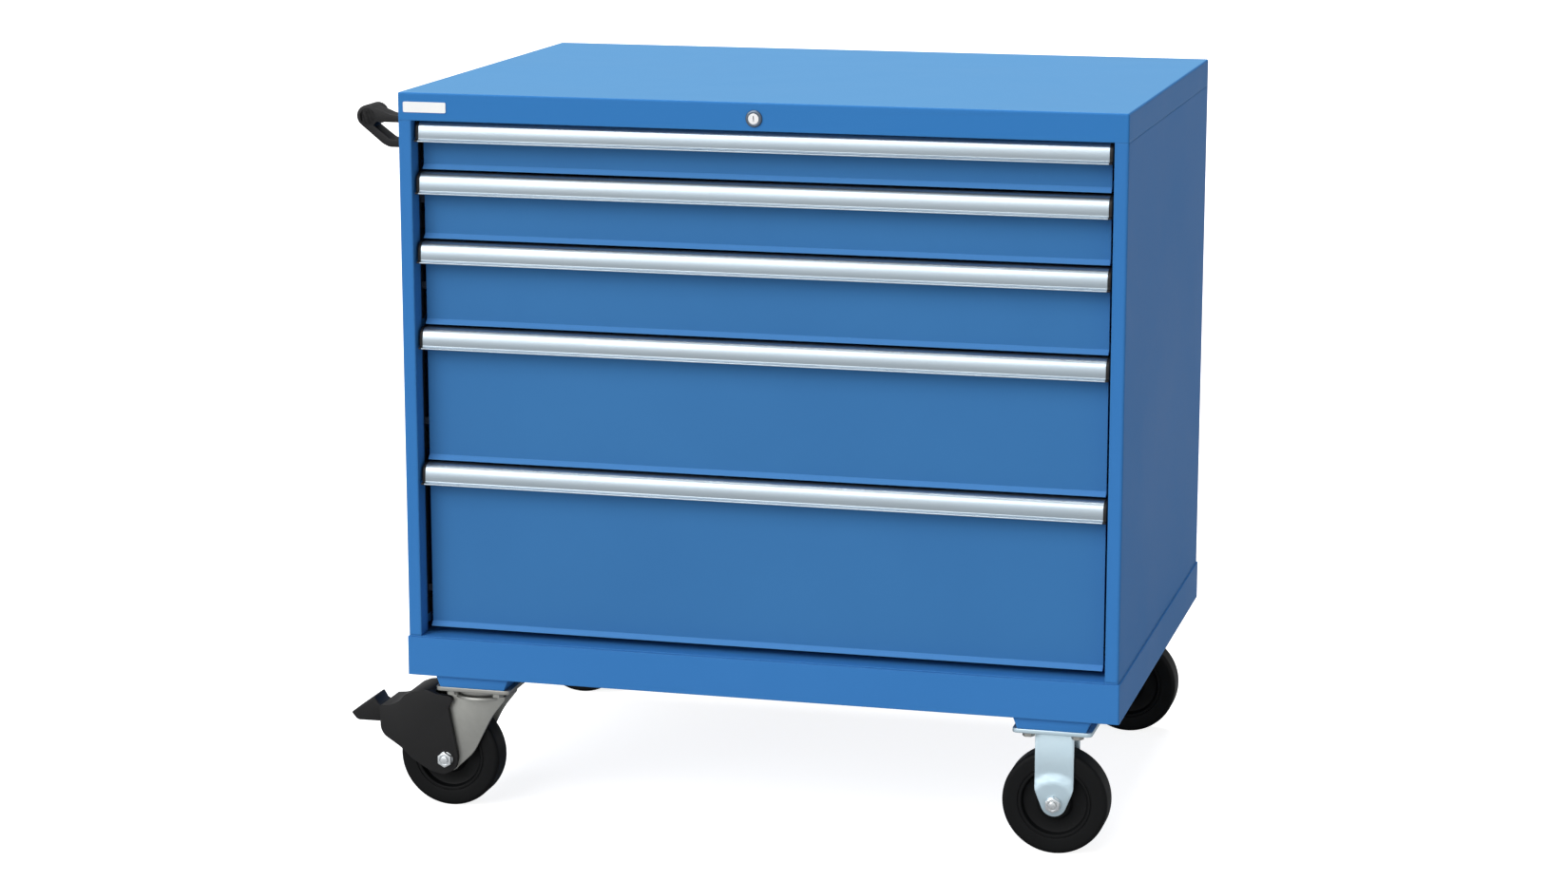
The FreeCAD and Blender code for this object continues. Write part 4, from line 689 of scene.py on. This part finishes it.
def fixed_fork(name, y):
    """Plate, both legs, and the weld beads under the plate."""
    parts = [top_plate(name, fixed_x, y)]
    for outward in (-1, 1):
        parts.append(fixed_leg(name + "_leg", y, outward))
        bead = disc(name + "_bead", (fixed_x, y + outward * 0.0262, plate_low - 0.0004), "x",
                    0.0022, 0.052, 16)
        parts.append(soften(bead, 0.0012, 2))
    return weld(name, *parts)


fixed_front = fixed_fork("fixed_fork_front", caster_y["front"])
fixed_rear = copy_of(fixed_front, "fixed_fork_rear", y=caster_span)
fit(fixed_front, "cabinet", zinc_plate, "zinc_steel", "rigid_fork_front")
fit(fixed_rear, "cabinet", zinc_plate, "zinc_steel", "rigid_fork_rear")
print("fixed fork faces:", len(fixed_front.data.polygons))

# %% [markdown]
# ## Swivel casters
# The fixed half is the top plate with a pressed bearing ring and the king pin's head.
# The turning half is a crown that is domed over the lower row of balls, and two
# tapered legs that trail the wheel behind the pin.

# %% Bearing ring and top plate
def spun(name, x, y, section, steps=64):
    """A closed section of radius and height, spun about an upright line."""
    ring = draw(name, [(x + r, y, z) for r, z in section], fill=False)
    bpy.ops.mesh.spin(steps=steps, angle=math.tau, axis=(0, 0, 1), center=(x, y, 0.15))
    face_out()
    return ring


race = [(0.0082, 0.1842), (0.0396, 0.1842), (0.0411, 0.1836), (0.0416, 0.1824), (0.0415, 0.1792),
        (0.0404, 0.1770), (0.0384, 0.1757), (0.0360, 0.1752), (0.0082, 0.1752)]
pin = [(0.0, 0.1755), (0.0, 0.1652), (0.0105, 0.1652), (0.0128, 0.1662), (0.0139, 0.1680),
       (0.0139, 0.1696), (0.0078, 0.1699), (0.0078, 0.1755)]
fixed_halves = {}
plate_front = top_plate("swivel_top_front", swivel_x, caster_y["front"])
ring_front = spun("swivel_race", swivel_x, caster_y["front"], race)
pin_front = spun("swivel_pin", swivel_x, caster_y["front"], pin, 40)
fixed_halves["front"] = weld("swivel_top_front", plate_front, ring_front, pin_front)
fixed_halves["rear"] = copy_of(fixed_halves["front"], "swivel_top_rear", y=caster_span)
for end, piece in fixed_halves.items():
    fit(piece, "cabinet", zinc_warm, "zinc_steel", "swivel_plate_" + end)

# %% Swivel fork, then its copy
crown_top, crown_low = 0.17485, 0.16985


def swivel_leg(name, y, outward):
    """One tapered leg of the turning fork."""
    rise = crown_top - axle_z
    trail = 0.048
    shares = [(0.92, 1.0), (-0.90, 1.0), (-0.88, 0.94), (-0.46, 0.68), (0.14, 0.10)]
    spots = [(swivel_x - trail * a, axle_z + rise * b) for a, b in shares]
    spots += [(wheel_x + 0.0215 * math.cos(math.radians(a)),
               axle_z + 0.0215 * math.sin(math.radians(a))) for a in range(-34, -200, -14)]
    inner = y + outward * 0.0250
    leg = draw(name, [(px, inner, pz) for px, pz in spots])
    knee, hip = spots[4], spots[3]
    round_off(leg, 0.010, [(knee[0], inner, knee[1]), (hip[0], inner, hip[1])])
    pull(y=outward * 0.0040)
    face_out()
    return soften(leg, 0.0011, 3, 40)


crown = [(0.0081, 0.17465), (0.0395, 0.17465), (0.0420, 0.1740), (0.0430, 0.1724),
         (0.0430, 0.1702), (0.0081, 0.1700)]
fork_parts = [spun("crown", swivel_x, caster_y["front"], crown)]
for outward in (-1, 1):
    fork_parts.append(swivel_leg("swivel_leg", caster_y["front"], outward))
saddle_line = ((-0.0440, -0.0252), (0.0425, -0.0252), (0.0425, 0.0252), (-0.0440, 0.0252))
saddle = draw("saddle", [(swivel_x + a, caster_y["front"] + b, crown_low)
                         for a, b in saddle_line])
pull(z=0.0046)
face_out()
hole = disc("hole", (swivel_x, caster_y["front"], crown_low), "z", 0.0300, 0.03, 48)
fork_parts.append(soften(carve(saddle, hole), 0.0008, 2))
fork_front = weld("swivel_fork_front_piece", *fork_parts)
fork_rear = copy_of(fork_front, "swivel_fork_rear_piece", y=caster_span)
fit(fork_front, "swivel_fork_front", zinc_warm, "zinc_steel", "swivel_fork_front")
fit(fork_rear, "swivel_fork_rear", zinc_warm, "zinc_steel", "swivel_fork_rear")
print("swivel fork faces:", len(fork_front.data.polygons))

# %% [markdown]
# ## Brake covers
# A moulded cover sits over each swivel fork and the back of its wheel. It is one
# shell: a slab the width of the cover with well rounded edges, hollowed from below so
# that the wheel and the fork fit inside it, and open behind, where the pedal comes out.

# %% A brake cover, then its copy
def beside_axle(spots, y):
    """Points given in millimetres behind and above the axle, at one depth."""
    return [(wheel_x - back / 1000, y, axle_z + up / 1000) for back, up in spots]


cover_half = 0.0372
cover_line = [(27.4, 103.0), (47.5, 100.2), (62.0, 94.5), (71.6, 82.5), (84.0, 77.0), (102.5, 75.3),
              (101.5, 33.0), (71.0, 13.4), (53.0, -3.2), (26.7, -19.4), (4.0, -24.6),
              (-14.0, -16.0), (-19.0, 1.0), (-4.5, 79.0), (-12.5, 90.0), (-9.0, 95.8), (12.0, 97.6)]
front = caster_y["front"]
line = beside_axle(cover_line, front - cover_half)
cover = draw("brake_cover_front_piece", line)
round_off(cover, 0.011, [line[6]], 8)
round_off(cover, 0.006, [line[i] for i in (2, 3, 4, 9, 11, 12)], 6)
round_off(cover, 0.0035, [line[i] for i in (5, 7, 10, 13, 14, 15)], 5)
pull(y=2 * cover_half)
face_out()
soften(cover, 0.0032, 4, 50)
room_line = [(27.4, 99.6), (46.0, 97.2), (59.5, 92.0), (69.5, 79.0), (83.0, 73.6), (107.6, 71.4),
             (130.0, 69.7), (130.0, -90.0), (-90.0, -90.0), (-90.0, 120.0), (10.0, 120.0),
             (10.0, 99.6)]
room_half = 0.0291
room = draw("room", beside_axle(room_line, front - room_half))
pull(y=2 * room_half)
face_out()
carve(cover, room)
cover_rear = copy_of(cover, "brake_cover_rear_piece", y=caster_span)
fit(cover, "swivel_fork_front", black_moulding, "black_plastic", "brake_cover_front")
fit(cover_rear, "swivel_fork_rear", black_moulding, "black_plastic", "brake_cover_rear")
print("brake cover faces:", len(cover.data.polygons))

# %% [markdown]
# ## Brake pedals
# The pedal is pressed with a shoe: its tread stands out behind the cover like a
# fishtail, and a heel inside the cover comes down on the tyre.

# %% A brake pedal, then its copy
tread_line = [(106.5, 70.4), (110.4, 72.4), (116.8, 83.4), (153.5, 56.4), (144.5, 45.0),
              (105.5, 45.6)]
pedal_half = 0.0220
line = beside_axle(tread_line, front - pedal_half)
pedal = draw("brake_pedal_front_piece", line)
round_off(pedal, 0.0022, [line[i] for i in (2, 3)], 4)
round_off(pedal, 0.0045, [line[4]], 5)
pull(y=2 * pedal_half)
face_out()
soften(pedal, 0.0018, 3, 40)
heel_line = [(75.8, 69.6), (121.2, 69.6), (121.2, 50.2), (88.8, 48.8), (78.0, 35.1), (72.2, 46.6)]
heel = draw("heel", beside_axle(heel_line, front - 0.0165))
pull(y=0.033)
face_out()
soften(heel, 0.0015, 3, 40)
pedal = weld("brake_pedal_front_piece", pedal, heel)
pedal_rear = copy_of(pedal, "brake_pedal_rear_piece", y=caster_span)
fit(pedal, "brake_pedal_front", black_moulding, "black_plastic", "brake_pedal_front")
fit(pedal_rear, "brake_pedal_rear", black_moulding, "black_plastic", "brake_pedal_rear")
print("pedal faces:", len(pedal.data.polygons))

# %% [markdown]
# ## Push handles
# Two black moulded handles stand off the cabinet's left side. Each is one moulding: a
# round grip that an arm and a slanting strut hold, with an open corner between them.
# The web is one outline with the corner cut out, and the grip a short bar with
# well-rounded rims, a little longer than the web is deep.

# %% A push handle, then its copy
grip_x, grip_z, wall_x = -0.54915, 1.0182, -0.47175
grip_radius, grip_length, web_depth = 0.016, 0.050, 0.030
front_y, handle_span = -0.295, 0.540


def on_grip(*leans):
    """Corners on the grip's rim, at these angles up from the wall's side."""
    return [(grip_x + grip_radius * math.cos(math.radians(a)),
             grip_z + grip_radius * math.sin(math.radians(a))) for a in leans]


outer = [(wall_x, 1.0292), (-0.47975, 1.0292), (-0.47975, 1.0202), (-0.5120, 1.0202),
         (-0.5232, 1.0252)]
outer += on_grip(*range(55, 236, 15))
outer += [(-0.5215, 0.9754), (-0.5140, 0.9742), (-0.47975, 0.9742), (-0.47975, 0.9652),
          (wall_x, 0.9652)]
web = draw("push_web", [(x, front_y, z) for x, z in outer])
round_off(web, 0.008, [(-0.5120, front_y, 1.0202), (-0.5215, front_y, 0.9754)], 6)
round_off(web, 0.003, [(-0.47975, front_y, z) for z in (1.0202, 0.9742)], 4)
pull(y=web_depth)
face_out()
gap_line = [(-0.4797, 1.0102), (-0.5155, 1.0102)] + on_grip(-30, -42, -56)
gap_line += [(-0.5138, 0.9852), (-0.4797, 0.9852)]
gap_spots = [(x, front_y - 0.01, z) for x, z in gap_line]
gap = draw("push_gap", gap_spots)
round_off(gap, 0.0045, [gap_spots[5]], 6)
round_off(gap, 0.0015, [gap_spots[i] for i in (1, 4)], 4)
pull(y=0.06)
face_out()
carve(web, gap)
soften(web, 0.0022, 3, 40)
grip = disc("push_grip", (grip_x, front_y + grip_length / 2, grip_z), "y", grip_radius,
            grip_length, 64)
soften(grip, 0.0042, 5)
handle_front = weld("push_handle_front", web, grip)
handle_rear = copy_of(handle_front, "push_handle_rear", y=handle_span)
handles = weld("push_handles_piece", handle_front, handle_rear)
fit(handles, "cabinet", black_moulding, "black_plastic", "push_handles")
print("push handle faces:", len(handles.data.polygons))

# %% [markdown]
# ## Lock
# A round cylinder lock sits in the middle of the skirt: a dark ring with a soft crown,
# on a barrel that a nut clamps from behind, and in it the bright core with its key slot.
# Ring and barrel are one turned piece, so they are one section spun about the axis.

# %% Lock ring, barrel and nut
lock_x, lock_z, skirt_y = middle_x, 1.0415, -0.375
ring_section = [(7.6, -2.6), (8.2, -3.0), (9.6, -3.0), (10.9, -2.7), (11.7, -1.9), (12.0, -0.8),
                (12.0, 0.0), (9.5, 0.0), (9.5, 23.4), (9.0, 24.0), (7.6, 24.0)]
ring = draw("lock_ring", [(lock_x + r / 1000, skirt_y + y / 1000, lock_z)
                          for r, y in ring_section], fill=False)
bpy.ops.mesh.spin(steps=64, angle=math.tau, axis=(0, 1, 0), center=(lock_x, skirt_y, lock_z))
face_out()
nut = disc("lock_nut", (lock_x, skirt_y + 0.0035, lock_z), "y", 0.0140, 0.0040, 6)
nut = carve(nut, disc("nut_bore", (lock_x, skirt_y + 0.0035, lock_z), "y", 0.0094, 0.02, 64))
ring = weld("lock_ring", ring, soften(nut, 0.0004, 2))
fit(ring, "cabinet", grey_nickel, "lock_chrome", "lock_body")
print("lock ring faces:", len(ring.data.polygons))

# %% [markdown]
# ## Ends of the caster channels
# Each channel under the base is closed at the front and back by a small folded plate
# in the cabinet's blue.

# %% End plates
ends = []
for x in (swivel_x, fixed_x):
    for side, y in ((-1, -0.3705), (1, 0.3690)):
        line = [(x - 0.0555, y, 0.2078), (x - 0.0490, y, 0.1907), (x + 0.0490, y, 0.1907),
                (x + 0.0555, y, 0.2078)]
        plate = draw("channel_end", line)
        pull(y=0.0015)
        face_out()
        ends.append(soften(plate, 0.0005, 2))
fit(weld("channel_ends", *ends), "cabinet", powder_blue, "cabinet_blue")
print("channel ends: 4")

# %% [markdown]
# ## The floor
# A plain white floor. It looks white to the camera even where the lamp gives it less
# than full light, but the cabinet's shadow still falls on it.

# %% Floor
bpy.ops.mesh.primitive_plane_add(size=60, location=(0, 0, 0))
floor = bpy.context.object
floor.name = "floor"
floor_paint = bpy.data.materials.new("white_floor")
floor_paint.use_nodes = True
tree = floor_paint.node_tree
tree.nodes.clear()
matt = add(tree, "ShaderNodeBsdfDiffuse", Color=(0.52, 0.52, 0.52, 1))
path = add(tree, "ShaderNodeLightPath")
glossy = add(tree, "ShaderNodeMath", {"operation": "MULTIPLY"},
             _0=path.outputs["Is Glossy Ray"], _1=0.04)
lift = add(tree, "ShaderNodeMath", {"operation": "MULTIPLY_ADD"},
           _0=path.outputs["Is Camera Ray"], _1=0.87, _2=glossy.outputs[0])
shine = add(tree, "ShaderNodeEmission", Color=(1, 1, 1, 1), Strength=lift.outputs[0])
total = add(tree, "ShaderNodeAddShader", _0=matt.outputs[0], _1=shine.outputs[0])
add(tree, "ShaderNodeOutputMaterial", Surface=total.outputs[0])
floor.data.materials.append(floor_paint)

# %% Bring the scene up to date
bpy.context.view_layer.update()
